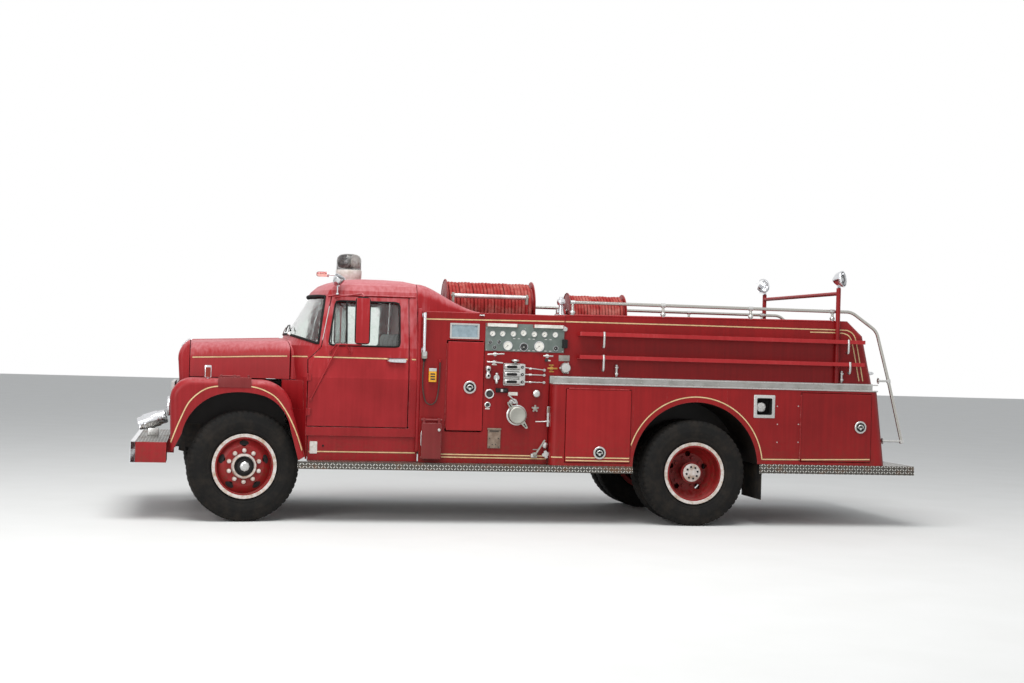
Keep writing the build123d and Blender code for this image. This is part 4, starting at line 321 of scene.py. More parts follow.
# Float glass, 6 mm, green at the edge with a bloom of dust.
def floatGlass(name, tone, roughness=0.03):
    finish, tree, shader, place = newFinish(name, IOR=1.5)
    shader.inputs["Transmission Weight"].default_value = 1.0
    bloom = addNode(tree, "TexNoise", {"Vector": place, "Scale": 14, "Detail": 7})
    rough = addNode(tree, "MapRange", (bloom, 0.45, 0.8, roughness, roughness + 0.12))
    tree.links.new(rough.outputs[0], shader.inputs["Roughness"])
    tint = addNode(tree, "Mix", {0: bloom, 6: paint(tone), 7: paint("#ffffff")}, data_type="RGBA")
    tree.links.new(tint.outputs[2], shader.inputs["Base Color"])
    return finish


windowGlass = floatGlass("float glass, dusty", "#e2ece6")
clearLens = floatGlass("pressed lamp glass, clear", "#f4f6f4", 0.06)
domeGlass = floatGlass("moulded acrylic dome, crazed by the sun", "#eceaea", 0.22)
amberLens = floatGlass("moulded acrylic, amber", "#ff5a10", 0.12)
redLens = floatGlass("moulded acrylic, red", "#b40f14", 0.12)

# Vinyl cloth, calendered with a leather grain: dark, slightly shiny on the crowns.
seatVinyl, tree, shader, place = newFinish("seat vinyl, leather grain", IOR=1.5, Roughness=0.48)
grain = addNode(tree, "TexVoronoi",
                {"Vector": place, "Scale": 420})                                      # 2.4 mm grain
worn = addNode(tree, "TexNoise", {"Vector": place, "Scale": 9, "Detail": 5})
tree.links.new(addNode(tree, "Mix", {0: worn, 6: paint("#1d1c1c"), 7: paint("#3c3633")}, data_type="RGBA").outputs[2],
               shader.inputs["Base Color"])
tree.links.new(addNode(tree, "Bump", {"Height": grain, "Distance": 0.0005, "Strength": 0.6}).outputs[0],
               shader.inputs["Normal"])
# Moulded lamp lenses, deep coloured and too thick to see through.
markerLens = grimyIron("moulded lens, dark amber red", "#8a2410", "#6e1a0c", 0.18)
tailLens = grimyIron("moulded lens, red", "#8c0c10", "#6e0a0d", 0.18)
print("finishes mixed")


# ---- forms ----
form = bmesh.new()     # every form grows in here, until piece() takes it out as one mesh


def block(corner, opposite, edge=0.002, finish=0):
    spans = [(min(pair), max(pair)) for pair in zip(corner, opposite)]
    made = [form.verts.new((x, y, z)) for x in spans[0] for y in spans[1] for z in spans[2]]
    rings = ((0, 1, 3, 2), (4, 6, 7, 5), (0, 4, 5, 1), (2, 3, 7, 6), (0, 2, 6, 4), (1, 5, 7, 3))
    faces = [form.faces.new([made[i] for i in ring]) for ring in rings]
    for face in faces:
        face.material_index = finish
    if edge:
        rim = list({side for face in faces for side in face.edges})
        bmesh.ops.bevel(form, geom=rim, offset=edge, segments=2, affect="EDGES", profile=0.6, clamp_overlap=True,
                        material=finish)


def aroundAxis(axis):
    axis = Vector(axis).normalized()
    upright = abs(axis.z) > 0.99
    first = axis.orthogonal().normalized() if upright else Vector((0, 0, 1)).cross(axis).normalized()
    return axis, first, axis.cross(first)


def bridge(rings, finish=0, closed=True, round=False):
    # faces between each ring of vertices and the next
    for a, b in zip(rings, rings[1:] + (rings[:1] if round else [])):
        for i in range(0 if closed else 1, len(a)):
            form.faces.new([a[i - 1], a[i], b[i], b[i - 1]]).material_index = finish


def lathe(profile, centre, axis, steps=32, finish=0):
    # profile is (along the axis, radius) from one end to the other; a radius of 0 closes the end
    axis, first, second = aroundAxis(axis)
    centre = Vector(centre)
    turns = [2 * math.pi * i / steps for i in range(steps)]
    rings = []
    for along, radius in profile:
        spokes = [(first * math.cos(t) + second * math.sin(t)) * radius for t in turns] if radius else [Vector()]
        rings.append([form.verts.new(centre + axis * along + spoke) for spoke in spokes])
    for a, b in zip(rings, rings[1:]):
        for i in range(steps):
            j = (i + 1) % steps
            ring = [a[i % len(a)], a[j % len(a)], b[j % len(b)], b[i % len(b)]]
            ring = [v for k, v in enumerate(ring) if v not in ring[:k]]
            if len(ring) > 2:
                form.faces.new(ring).material_index = finish


def roundedRoute(points, bend, steps=6):
    route = [points[0]]
    for before, here, after in zip(points, points[1:], points[2:]):
        back, on = (before - here), (after - here)
        reach = min(bend, back.length * 0.45, on.length * 0.45)
        start, end = here + back.normalized() * reach, here + on.normalized() * reach
        route += [start.lerp(here, t).lerp(here.lerp(end, t), t) for t in (i / steps for i in range(steps + 1))]
    return route + [points[-1]]


def pipe(points, radius, bend=0.0, steps=12, finish=0, flat=1.0):
    route = [Vector(p) for p in points]
    if bend:
        route = roundedRoute(route, bend)
    turns = [2 * math.pi * k / steps for k in range(steps)]
    rings = []
    normal = (route[1] - route[0]).normalized().orthogonal().normalized()
    for i, point in enumerate(route):
        heading = (route[min(i + 1, len(route) - 1)] - route[max(i - 1, 0)]).normalized()
        normal = (normal - heading * normal.dot(heading)).normalized()
        side = heading.cross(normal)
        spokes = [normal * math.cos(t) * flat + side * math.sin(t) for t in turns]
        rings.append([form.verts.new(point + spoke * radius) for spoke in spokes])
    bridge(rings, finish)
    for end in (rings[0], rings[-1]):
        form.faces.new(end).material_index = finish


def slab(outline, y, depth, finish=0, edge=0.0):
    # an outline of (x, z) points, from y towards y + depth
    near, far = ([form.verts.new((x, level, z)) for x, z in outline] for level in (y, y + depth))
    faces = [form.faces.new(near), form.faces.new(far[::-1])]
    faces += [form.faces.new([near[i], far[i], far[i - 1], near[i - 1]]) for i in range(len(outline))]
    for face in faces:
        face.material_index = finish
    if edge:
        bmesh.ops.bevel(form, geom=list(faces[0].edges), offset=edge, segments=2, affect="EDGES", material=finish)


def polar(radius, degrees):
    return radius * math.cos(math.radians(degrees)), radius * math.sin(math.radians(degrees))


def ringPoints(x, z, radius, steps=24, start=0, turn=360):
    spokes = [polar(radius, start + turn * i / steps) for i in range(steps + (turn < 360))]
    return [(x + c, z + s) for c, s in spokes]


def boxPoints(x0, x1, z0, z1, corner=0.0, steps=4):
    if not corner:
        return [(x0, z0), (x1, z0), (x1, z1), (x0, z1)]
    left, right, low, high = x0 + corner, x1 - corner, z0 + corner, z1 - corner
    corners = ((right, low, -90), (right, high, 0), (left, high, 90), (left, low, 180))
    return [point for x, z, start in corners for point in ringPoints(x, z, corner, steps, start, 90)]


def grid(*lists):
    return [(x, z) for z in lists[1] for x in lists[0]]


def piece(name, finishes, body="root", soften=False, sharp=38):
    bmesh.ops.recalc_face_normals(form, faces=form.faces)
    mesh = bpy.data.meshes.new(name)
    form.to_mesh(mesh)
    form.clear()
    for finish in finishes if isinstance(finishes, (list, tuple)) else [finishes]:
        mesh.materials.append(finish)
    mesh.polygons.foreach_set("use_smooth", [True] * len(mesh.polygons))
    if not soften:
        mesh.set_sharp_from_angle(angle=math.radians(sharp))
    made = bpy.data.objects.new(name, mesh)
    link(made)
    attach(made, body)
    return made


skins = {}


def castOn(nodes, start, heading):
    # the nearest place, its normal and its distance, where a line from start meets one of these CAD nodes
    hits = []
    for node in nodes:
        if node not in skins:
            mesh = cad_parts[node].data
            skins[node] = BVHTree.FromPolygons([v.co for v in mesh.vertices], [p.vertices for p in mesh.polygons])
        place, normal, index, gap = skins[node].ray_cast(Vector(start), Vector(heading))
        if place is not None:
            hits.append((gap, place, normal))
    gap, place, normal = min(hits, key=lambda hit: hit[0]) if hits else (None, None, None)
    return place, normal, gap


def skinPoint(nodes, x, z, side):
    # the skin of the left (-1) or right side (1), seen square on, with its outward normal
    place, normal, gap = castOn(nodes, (x, side * 1.6, z), (0, -side, 0))
    return None if place is None else (place, normal if normal.y * side > 0 else -normal)


def topOf(nodes, x, y):
    place = castOn(nodes, (x, y, 3), (0, 0, -1))[0]
    return None if place is None else place.z


def endOf(nodes, y, z, heading=-1):
    # where a line along X first meets these nodes, seen from the back (-1) or from the front (1)
    place = castOn(nodes, (-heading * 6, y, z), (heading, 0, 0))[0]
    return None if place is None else place.x


def smoothLine(points, step=0.02, corners=False):
    # fills in a line of (x, z) points, as a smooth curve unless corners is set
    line = []
    points = [Vector(p) for p in points]
    for i, (a, b) in enumerate(zip(points, points[1:])):
        before = points[i - 1] if i else a * 2 - b
        after = points[i + 2] if i + 2 < len(points) else b * 2 - a
        count = max(1, round((b - a).length / step))
        slope, bend, twist = b - before, 2 * before - 5 * a + 4 * b - after, 3 * a - before - 3 * b + after
        for t in (k / count for k in range(count)):
            smooth = 0.5 * (2 * a + slope * t + bend * t * t + twist * t ** 3)
            line.append(a.lerp(b, t) if corners else smooth)
    return line + [points[-1]]


def ribbonOn(nodes, points, width, side, lift=0.0012, corners=False, finish=0):
    # a flat band of paint or trim that lies on the CAD skin
    line = smoothLine(points, corners=corners)
    rows = []
    for i, point in enumerate(line):
        heading = (line[min(i + 1, len(line) - 1)] - line[max(i - 1, 0)]).normalized()
        across = Vector((-heading.y, heading.x)) * width / 2
        hits = [skinPoint(nodes, place.x, place.y, side) for place in (point - across, point + across)]
        rows.append(None if None in hits else [form.verts.new(hit[0] + hit[1] * lift) for hit in hits])
    for a, b in zip(rows, rows[1:]):
        if a and b and (a[0].co - b[0].co).length < 0.12:
            form.faces.new([a[0], a[1], b[1], b[0]]).material_index = finish


# ---- the CAD nodes' own finishes ----
def pair(*stems):
    return tuple(stem + end for stem in stems for end in ("_left", "_right"))


nodeFinishes = {
    cabEnamel: ("cab_shell", "nose_panel", "bumper_platform", "roof_fairing", "kick_panels") + pair("door", "hood"),
    fenderEnamel: ("front_fenders",),
    boxEnamel: pair("side_box"),
    shelfEnamel: ("ladder_shelves",),
    bodyEnamel: ("pump_house", "hose_body", "light_pylons", "reel_stands", "rear_panel") + pair("rear_door"),
    hatchEnamel: ("side_fittings",) + pair("mid_door", "tall_door"),
    wheelEnamel: ("reel_front", "reel_rear") + pair("wheel_front", "wheel_rear"),
    chassisEnamel: ("chassis_frame", "axles", "leaf_springs", "tie_rod") + pair("knuckle"),
    castIron: ("powertrain",),
    chrome: ("front_bumper", "lamps", "suction_intakes"),
    dullChrome: ("pump_controls", "grille"),
    polishedTube: ("handrails",),
    trimAluminium: ("body_trim", "fuel_filler"),
    treadMetal: ("tread_boards",),
    hammerGrey: ("gauge_panel",),
    tyreRubber: pair("tyre_front", "tyre_rear"),
    flapRubber: ("mud_flaps",),
    cordRubber: ("handset_cord",),
    windowGlass: ("cab_glass",) + pair("door_glass"),
    clearLens: ("beacon_dome",),
    seatVinyl: ("seat",),
    dashEnamel: ("steering_wheel",),
}
for finish, names in nodeFinishes.items():
    for name in names:
        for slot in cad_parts[name].material_slots:
            slot.material = finish
print("CAD nodes finished")


# ---- cord of the plug beside the cab ----
# The same points as in the part's source, in metres: station and height
cord = {"radius": 0.007, "y": -1.064, "length": 0.887, "points": (
    (1.664, 1.529), (1.657, 1.440), (1.654, 1.345), (1.658, 1.255), (1.672, 1.175), (1.690, 1.122),
    (1.735, 1.098), (1.780, 1.122), (1.798, 1.175), (1.808, 1.255), (1.812, 1.335), (1.814, 1.415), (1.815, 1.500),
)}
cordCurve = bpy.data.curves.new("handsetCord", "CURVE")
cordCurve.dimensions = "3D"
cordLine = cordCurve.splines.new("NURBS")
cordLine.points.add(len(cord["points"]) - 1)
for point, (station, height) in zip(cordLine.points, cord["points"]):
    point.co = (frontAxleX + station, cord["y"], height, 1)
cordLine.order_u, cordLine.use_endpoint_u, cordLine.resolution_u = 3, True, 16
cordCurve.bevel_depth, cordCurve.bevel_resolution, cordCurve.use_fill_caps = cord["radius"], 5, True
cordCurve.materials.append(cordRubber)
cordPiece = bpy.data.objects.new("handsetCord", cordCurve)
link(cordPiece)
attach(cordPiece, "root")
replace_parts(cordPiece, "handset_cord")
station, height = cord["points"][0]
print("cord laid")


# ---- tyres ----
# A cross-ply truck tyre: ribs with zigzag grooves, cut shoulders and a rim band on the wall, as (radius, y)
tyre = {"lugs": 58, "groove": 0.009, "zigzag": 0.0035, "restTurn": 8, "twinOffset": 0.144, "section": {
    "wall": ((0.2965, 0.086), (0.303, 0.094), (0.318, 0.104), (0.326, 0.108), (0.331, 0.1105), (0.337, 0.1095),
             (0.352, 0.116), (0.375, 0.1215), (0.398, 0.124), (0.404, 0.1248), (0.409, 0.1236), (0.43, 0.121),
             (0.447, 0.1175), (0.452, 0.1175), (0.457, 0.1155), (0.465, 0.113)),
    "lug": ((0.474, 0.109), (0.488, 0.104), (0.497, 0.098), (0.501, 0.09)),
    "tread": ((0.5045, 0.082), (0.505, 0.066), (0.505, 0.058), (0.4965, 0.056), (0.4965, 0.05), (0.505, 0.048),
              (0.505, 0.022), (0.4965, 0.020), (0.4965, 0.013), (0.505, 0.011)),
}}


def tyreForm(centre, axis):
    axis, first, second = aroundAxis(axis)
    half = [(r, y, kind) for kind, line in tyre["section"].items() for r, y in line]
    section = half + [(r, -y, kind) for r, y, kind in reversed(half)]
    turns = tyre["lugs"] * 4
    rings = []
    for i in range(turns):
        t = 2 * math.pi * i / turns
        out = first * math.cos(t) + second * math.sin(t)
        cut = i % 4 == 0
        zig = tyre["zigzag"] if i % 4 in (0, 1) else -tyre["zigzag"]
        ring = []
        for r, y, kind in section:
            if kind == "lug" and cut:
                r -= tyre["groove"]
            if kind == "tread":
                y += zig if abs(y) < 0.075 else 0
                if cut and abs(y) > 0.06:
                    r -= tyre["groove"] * 0.8
            ring.append(form.verts.new(centre + out * r + axis * y))
        rings.append(ring)
    bridge(rings, round=True)


def middleOf(node):
    low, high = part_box(node)
    return (low + high) / 2


turn = math.radians(tyre["restTurn"])
steered = Vector((-math.sin(turn), math.cos(turn), 0))
wheels = {}
for side, label in sides:
    hub = middleOf("tyre_front_" + label)
    wheels["front_" + label] = (hub, steered * side, "front_wheel_" + label)
    tyreForm(hub, steered)
    made = piece("tyreFront_" + label, tyreRubber, "front_wheel_" + label, sharp=32)
    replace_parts(made, "tyre_front_" + label)
    middle, offset = middleOf("tyre_rear_" + label), Vector((0, tyre["twinOffset"], 0))
    tyreForm(middle - offset, (0, 1, 0))
    tyreForm(middle + offset, (0, 1, 0))
    made = piece("tyreRear_" + label, tyreRubber, "rear_wheels_" + label, sharp=32)
    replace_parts(made, "tyre_rear_" + label)
    wheels["rear_" + label] = (middle + side * offset, Vector((0, side, 0)), "rear_wheels_" + label)
print("tyres built")


# ---- striping ----
# Hand-laid stripe 11 mm wide, in gold size over a dark line 15 mm wide
stripe = {"width": 0.011, "border": 0.015, "lift": 0.0014}
fenderArch = ((-3.389, 0.713), (-3.36, 0.80), (-3.328, 0.887), (-3.259, 1.047), (-3.21, 1.115), (-3.159, 1.162),
              (-3.11, 1.195), (-3.057, 1.217), (-2.968, 1.232), (-2.83, 1.238), (-2.685, 1.233), (-2.58, 1.206),
              (-2.472, 1.147), (-2.395, 1.058), (-2.331, 0.953), (-2.275, 0.832), (-2.241, 0.741), (-2.215, 0.66))
rearArch = [(0.855, 0.70)] + ringPoints(frontAxleX + 4.293, 0.565, 0.672, 26, 170, -162) + [(2.19, 0.652)]
bodyInner = ((2.70, 1.897), (2.98, 1.898), (3.07, 1.888), (3.118, 1.853), (3.15, 1.765), (3.222, 1.43))
bodyOuter = ((0.245, 1.920), (1.4, 1.924), (2.55, 1.925), (3.02, 1.926), (3.10, 1.918), (3.155, 1.880),
             (3.19, 1.78), (3.262, 1.43))
stripes = (
    # name, body, node, points, true corners; an underscore at the end waits for left or right
    ("hoodStripe", "hood_half_", "hood_", ((-3.225, 1.482), (-2.92, 1.494), (-2.66, 1.506), (-2.352, 1.517)), False),
    ("cowlStripe", "root", "cab_shell", ((-2.325, 1.517), (-2.172, 1.519)), False),
    ("doorStripe", "cab_door_", "door_", ((-2.155, 1.519), (-1.8, 1.520), (-1.245, 1.519)), False),
    ("cabStripe", "root", "cab_shell", ((-1.225, 1.519), (-1.165, 1.519)), False),
    ("fenderStripe", "root", "front_fenders", fenderArch, False),
    ("houseStripe", "root", "pump_house", ((-1.115, 1.902), (-0.4, 1.912), (0.232, 1.920)), False),
    ("bodyStripeInner", "root", "hose_body", bodyInner, False),
    ("bodyStripe", "root", "hose_body", bodyOuter, False),
    ("kickStripe", "root", "kick_panels", ((-2.18, 0.642), (-1.15, 0.644)), False),
    ("houseFootStripe", "root", "pump_house", ((-0.925, 0.642), (0.09, 0.640)), True),
    ("houseFootStripeLow", "root", "pump_house", ((-0.925, 0.616), (0.09, 0.614)), True),
    ("boxFrontStripe", "root", "side_box_", ((0.118, 0.640), (0.24, 0.640)), True),
    ("midHatchStripe", "mid_hatch_", "mid_door_", ((0.25, 0.640), (0.868, 0.640)), True),
    ("midHatchStripeLow", "mid_hatch_", "mid_door_", ((0.25, 0.612), (0.868, 0.612)), True),
    ("archStripe", "root", "side_box_", rearArch, False),
    ("boxRearStripe", "root", "side_box_", ((2.19, 0.652), (2.575, 0.655)), True),
    ("rearHatchStripe", "rear_hatch_", "rear_door_", ((2.59, 0.656), (3.293, 0.668)), True),
)
for name, body, node, points, corners in stripes:
    for side, label in sides:
        ends = [stem + label if stem.endswith("_") else stem for stem in (body, node)]
        ribbonOn(ends[1:], points, stripe["border"], side, stripe["lift"], corners, 1)
        ribbonOn(ends[1:], points, stripe["width"], side, stripe["lift"] + 0.0006, corners)
        piece(name + "_" + label, [goldLeaf, inkBlack], ends[0], soften=True)
print("stripes laid")


# ---- wheel trim ----
# Aluminium paint on the rim's flange, capped nuts, an open front hub and a bolted rear axle end
wheelTrim = {"nutCircle": 0.143, "boltCircle": 0.056, "profiles": {
    "flange": ((0.1026, 0.2660), (0.1040, 0.2665), (0.1065, 0.270), (0.1055, 0.280), (0.109, 0.289), (0.108, 0.2955),
               (0.100, 0.2968)),
    "nut": ((-0.022, 0.0205), (-0.012, 0.0205), (-0.010, 0.0195), (0.001, 0.018), (0.006, 0.0125), (0.008, 0)),
    "hub": ((0.069, 0.116), (0.085, 0.113), (0.106, 0.110), (0.112, 0.106), (0.113, 0.098), (0.108, 0.093),
            (0.09, 0.090)),
    "hubWell": ((0.09, 0.0905), (0.078, 0.089), (0.078, 0.064), (0.106, 0.0635), (0.1065, 0)),
    "greaseCap": ((0.104, 0.046), (0.126, 0.045), (0.135, 0.036), (0.138, 0.02), (0.138, 0)),
    "axleEnd": ((-0.002, 0.087), (0.006, 0.086), (0.010, 0.080), (0.010, 0.034), (0.016, 0.03), (0.016, 0)),
    "bolt": ((0.009, 0.0105), (0.019, 0.0105), (0.021, 0.009), (0.021, 0)),
}}
# dark patches that paint the shade seen through the wheel's hand holes
handHole = {"radius": 0.190, "step": 0.0055, "steps": 9, "spread": 0.205, "lift": 0.0012}


def reachOf(node, start, heading):
    # how far from start, along heading, this CAD node's outermost face lies
    gap = castOn((node,), start + heading * 0.6, -heading)[2]
    return None if gap is None else 0.6 - gap


def onWheel(hub, axis, t, radius):
    # a place on the wheel's face, t round from the top
    axis, first, second = aroundAxis(axis)
    return hub + (second * math.cos(t) + first * math.sin(t)) * radius


def turned(part, centre, axis, steps, finish=0, out=0):
    lathe(wheelTrim["profiles"][part], centre + axis * out, axis, steps, finish)


for label, (hub, axis, body) in wheels.items():
    node = "wheel_" + label
    turned("flange", hub, axis, 64)
    if label.startswith("front"):
        for nut in range(10):
            spot = onWheel(hub, axis, math.radians(36 * nut), wheelTrim["nutCircle"])
            top = reachOf(node, spot, axis)
            if top:
                turned("nut", spot, axis, 12, 0, top)
        turned("hub", hub, axis, 48)
        turned("hubWell", hub, axis, 40, 1)
        turned("greaseCap", hub, axis, 8, 2)
    else:
        end = reachOf(node, hub, axis)
        turned("axleEnd", hub, axis, 40, 0, end)
        for bolt in range(8):
            spot = onWheel(hub, axis, math.radians(78 - 45 * bolt), wheelTrim["boltCircle"])
            turned("bolt", spot, axis, 6, 1, end)
    piece("wheelTrim_" + label, [rimPaint, shadowSteel, dullChrome], body)
    if label.startswith("rear"):
        continue
    # the hand holes' shade, painted as dark patches laid on the dish between the nuts and the rim
    circles = []
    for step in range(handHole["steps"]):
        r = handHole["radius"] + handHole["step"] * step
        spots = [onWheel(hub, axis, math.radians(36) + u, r) for u in (-0.05, 0, 0.05)]
        plain = max(reachOf(node, spot, axis) or 0 for spot in spots)
        circles.append((r, plain, handHole["spread"] * math.sqrt(max(0.02, 1 - ((step - 4) / 4.2) ** 2))))
    for hole in range(5):
        t = math.radians(72 * hole)
        bridge([[form.verts.new(onWheel(hub, axis, t + u * spread, r) + axis * (plain + handHole["lift"]))
                 for u in (-1, -0.6, -0.2, 0.2, 0.6, 1)] for r, plain, spread in circles], closed=False)
    piece("handHoleShade_" + label, shadowSteel, body)
print("wheels trimmed")


# ---- pump panel ----
# Everything here stands on the left side of the pump house and faces -Y
houseFace = Vector((0, -1, 0))
upward, rearward = (0, 0, 1), (1, 0, 0)


def rod(start, end, radius):
    return [(start, 0), (start, radius), (end, radius), (end, 0)]


def disc(height, radius):
    return [(0, radius), (height, radius), (height, 0)]


def boss(profile, x, z, steps, finish=0, out=houseY):
    lathe(profile, (x, -out, z), houseFace, steps, finish)


def plate(x0, x1, z0, z1, out, edge, finish=0, back=0.0):
    # a block that stands out from the side of the pump house
    block((x0, -houseY - out, z0), (x1, -houseY - back, z1), edge, finish)


gaugePanel = {"x": (-0.5255, 0.2335), "z": (1.622, 1.883), "face": houseY + 0.008,
              "hoods": ((-0.5165, -0.2265), (-0.0665, 0.2185))}
gauges = (
    # x, z, radius, black dial, where the needle points in degrees
    (-0.4605, 1.786, 0.027, 0, 228), (-0.3645, 1.787, 0.027, 0, 214), (-0.2615, 1.789, 0.027, 0, 231),
    (-0.1635, 1.799, 0.029, 0, 220),
    (-0.0595, 1.791, 0.027, 0, 210), (0.0395, 1.792, 0.027, 0, 226), (0.1435, 1.792, 0.027, 0, 219),
    (-0.4795, 1.704, 0.020, 1, 150),
    (-0.3965, 1.707, 0.020, 1, 135), (-0.4375, 1.655, 0.020, 1, 120), (-0.3105, 1.676, 0.045, 0, 222),
    (-0.1565, 1.667, 0.041, 1, 205),
    (-0.0085, 1.678, 0.050, 0, 224), (0.1515, 1.662, 0.025, 1, 140),
)


def dial(x, z, radius, black, needle):
    face, mark = gaugePanel["face"], 2 - black
    profiles = (((0, 1.02), (0.009, 1.02), (0.013, 0.97), (0.013, 0.88), (0.008, 0.85)),
                ((0.0078, 0.86), (0.0079, 0)), ((0.008, 0.1), (0.0105, 0.09), (0.0105, 0)))
    for profile, steps, finish in zip(profiles, (32, 28, 12), (0, 1 + black, mark)):
        boss([(out, radius * r) for out, r in profile], x, z, steps, finish, face)
    lines = [(225 - 27 * tick, 0.7 if tick % 5 else 0.64, 0.8, 0,
              0.0007 if tick % 5 else 0.0011) for tick in range(11)]
    for degrees, start, end, lift, thick in lines + [(needle, -0.16, 0.66, 0.001, 0.0011)]:
        spokes = [polar(radius * r, degrees) for r in (start, end)]
        pipe([(x + c, -face - 0.0082 - lift, z + s) for c, s in spokes], thick, 0, 4, mark)


(x0, x1), (z0, z1), face = gaugePanel["x"], gaugePanel["z"], gaugePanel["face"]
block((x0, -face, z0), (x1, -houseY - 0.0002, z1), 0.0015)
for x, z in grid((x0 + 0.012, (x0 + x1) / 2, x1 - 0.012), (z0 + 0.012, z1 - 0.045)):
    lathe([(0, 0.0045), (0.002, 0.004), (0.003, 0)], (x, -face, z), houseFace, 10, 1)
for x, z in grid((-0.25, -0.205, -0.105, -0.06, 0.055, 0.1), (1.744, 1.635)):
    block((x - 0.011, -face - 0.0012, z - 0.004), (x + 0.011, -face + 0.0002, z + 0.004), 0.0006, 1)
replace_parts(piece("gaugePanel", [hammerGrey, dullChrome], "root"), "gauge_panel")
for x0, x1 in gaugePanel["hoods"]:
    slab([(x0, 1.851), (x1, 1.851), (x1, 1.8825), (x0, 1.8825)], -houseY - 0.0385, 0.0385, 0, 0.002)
    plate(x0 - 0.002, x0 + 0.003, 1.850, 1.8835, 0.039, 0.0008, 1, 0.008)
    plate(x1 - 0.003, x1 + 0.002, 1.850, 1.8835, 0.039, 0.0008, 1, 0.008)
piece("panelLampHoods", [whiteEnamel, hatchEnamel])
for gauge in gauges:
    dial(*gauge)
piece("gauges", [chrome, dialWhite, dialBlack])


def stud(x, z, radius, reach, finish=0, y=houseY, rim=0.003):
    lathe([(-0.001, radius * 0.82), (reach * 0.3, radius * 0.86), (reach * 0.45, radius), (reach - rim, radius),
           (reach, radius - rim), (reach, 0)], (x, -y, z), houseFace, 28, finish)


def pullHandle(x0, x1, z, reach, finish=0, y=houseY, drop=0.0):
    # a cast T handle on a stem, with a small escutcheon behind it
    middle = (x0 + x1) / 2
    lathe([(0, 0.019), (0.004, 0.019), (0.006, 0.014), (0.006, 0.008), (reach, 0.007), (reach, 0)], (middle, -y, z),
          houseFace, 20, finish)
    out = -y - reach
    pipe([(x0, out, z - drop), (x0 + 0.02, out - 0.004, z - drop * 0.6), (middle, out - 0.007, z),
          (x1 - 0.02, out - 0.004, z + drop * 0.6), (x1, out, z + drop)], 0.0085, 0.01, 12, finish, 0.8)


# Two pull handles at the top left, a pair of sight valves below and a petcock beside them
pullHandle(-0.507, -0.350, 1.592, 0.05, drop=0.006)
pullHandle(-0.511, -0.361, 1.515, 0.05, drop=-0.004)
plate(-0.455, -0.41, 1.488, 1.498, 0.0025, 0.0006, 3)
lathe([(-0.062, 0.012), (-0.058, 0.022), (-0.040, 0.030), (-0.018, 0.025), (-0.006, 0.018), (0.006, 0.018),
       (0.018, 0.026), (0.040, 0.031), (0.056, 0.024), (0.062, 0.010), (0.062, 0)],
      (-0.495, -houseY - 0.032, 1.422), upward, 28)
plate(-0.508, -0.482, 1.40, 1.444, 0.02, 0.004)
lathe([(0.028, 0.012), (0.0305, 0.010), (0.0305, 0)], (-0.495, -houseY - 0.032, 1.446), houseFace, 16, 1)
lathe([(0.028, 0.012), (0.0305, 0.010), (0.0305, 0)], (-0.495, -houseY - 0.032, 1.388), houseFace, 16, 1)
stud(-0.412, 1.372, 0.028, 0.04)
lathe([(-0.05, 0), (-0.05, 0.012), (-0.03, 0.017), (-0.02, 0.012), (0.03, 0.012), (0.036, 0.016), (0.048, 0.014),
       (0.052, 0)], (-0.412, -houseY - 0.03, 1.368), upward, 16)
# Three-gang valve with its linkage rods
plate(-0.348, -0.150, 1.300, 1.512, 0.034, 0.012)
plate(-0.20, -0.142, 1.304, 1.508, 0.058, 0.014, 0, 0.02)
for z in (1.477, 1.407, 1.337):
    lathe([(0, 0.02), (0.006, 0.029), (0.17, 0.029), (0.178, 0.024), (0.186, 0.012), (0.186, 0)],
          (-0.345, -houseY - 0.036, z), rearward, 24)
    slab(boxPoints(-0.322, -0.222, z - 0.0135, z + 0.0135, 0.012), -houseY - 0.0668, 0.006, 1)
    lathe([(0.03, 0.0145), (0.036, 0.013), (0.036, 0)], (-0.172, -houseY - 0.034, z), houseFace, 18, 2)
    lathe([(0.036, 0.006), (0.042, 0.005), (0.042, 0)], (-0.172, -houseY - 0.034, z), houseFace, 8)
for z0, z1 in ((1.474, 1.454), (1.408, 1.406), (1.338, 1.337)):
    pipe([(-0.150, -houseY - 0.052, z0), (-0.05, -houseY - 0.046, (z0 + z1) / 2), (0.048, -houseY - 0.030, z1)],
         0.0055, 0.02, 10)
    lathe(rod(-0.012, 0.012, 0.011), (-0.095, -houseY - 0.049, (z0 + z1) / 2), rearward, 14)
    boss(disc(0.026, 0.013), 0.046, z1, 14)
lathe([(-0.018, 0.008), (-0.01, 0.012), (0.0, 0.036), (0.008, 0.041), (0.016, 0.034), (0.02, 0)],
      (-0.239, -houseY - 0.034, 1.53), upward, 28)
# Right-hand column: small handle, brass drain pull, capped outlet under its plate
pullHandle(0.028, 0.120, 1.588, 0.05)
stud(0.064, 1.549, 0.016, 0.02, 2)
plate(0.082, 0.108, 1.540, 1.552, 0.0025, 0.0006, 3)
block((0.187, -bodyY - 0.009, 1.544), (0.293, -bodyY + 0.002, 1.600), 0.003, 4)
lathe([(0, 0.036), (0.024, 0.034), (0.026, 0.050), (0.030, 0.052), (0.064, 0.050), (0.074, 0.042), (0.076, 0.02),
       (0.076, 0)], (0.243, -bodyY, 1.475), (0.05, -1, 0.1), 32)
for t in (60, 180, 300):
    spot = Vector((0.243 + 0.05 * math.cos(math.radians(t)), -bodyY - 0.05, 1.480 + 0.05 * math.sin(math.radians(t))))
    lathe(rod(-0.012, 0.012, 0.009), spot, houseFace, 10)
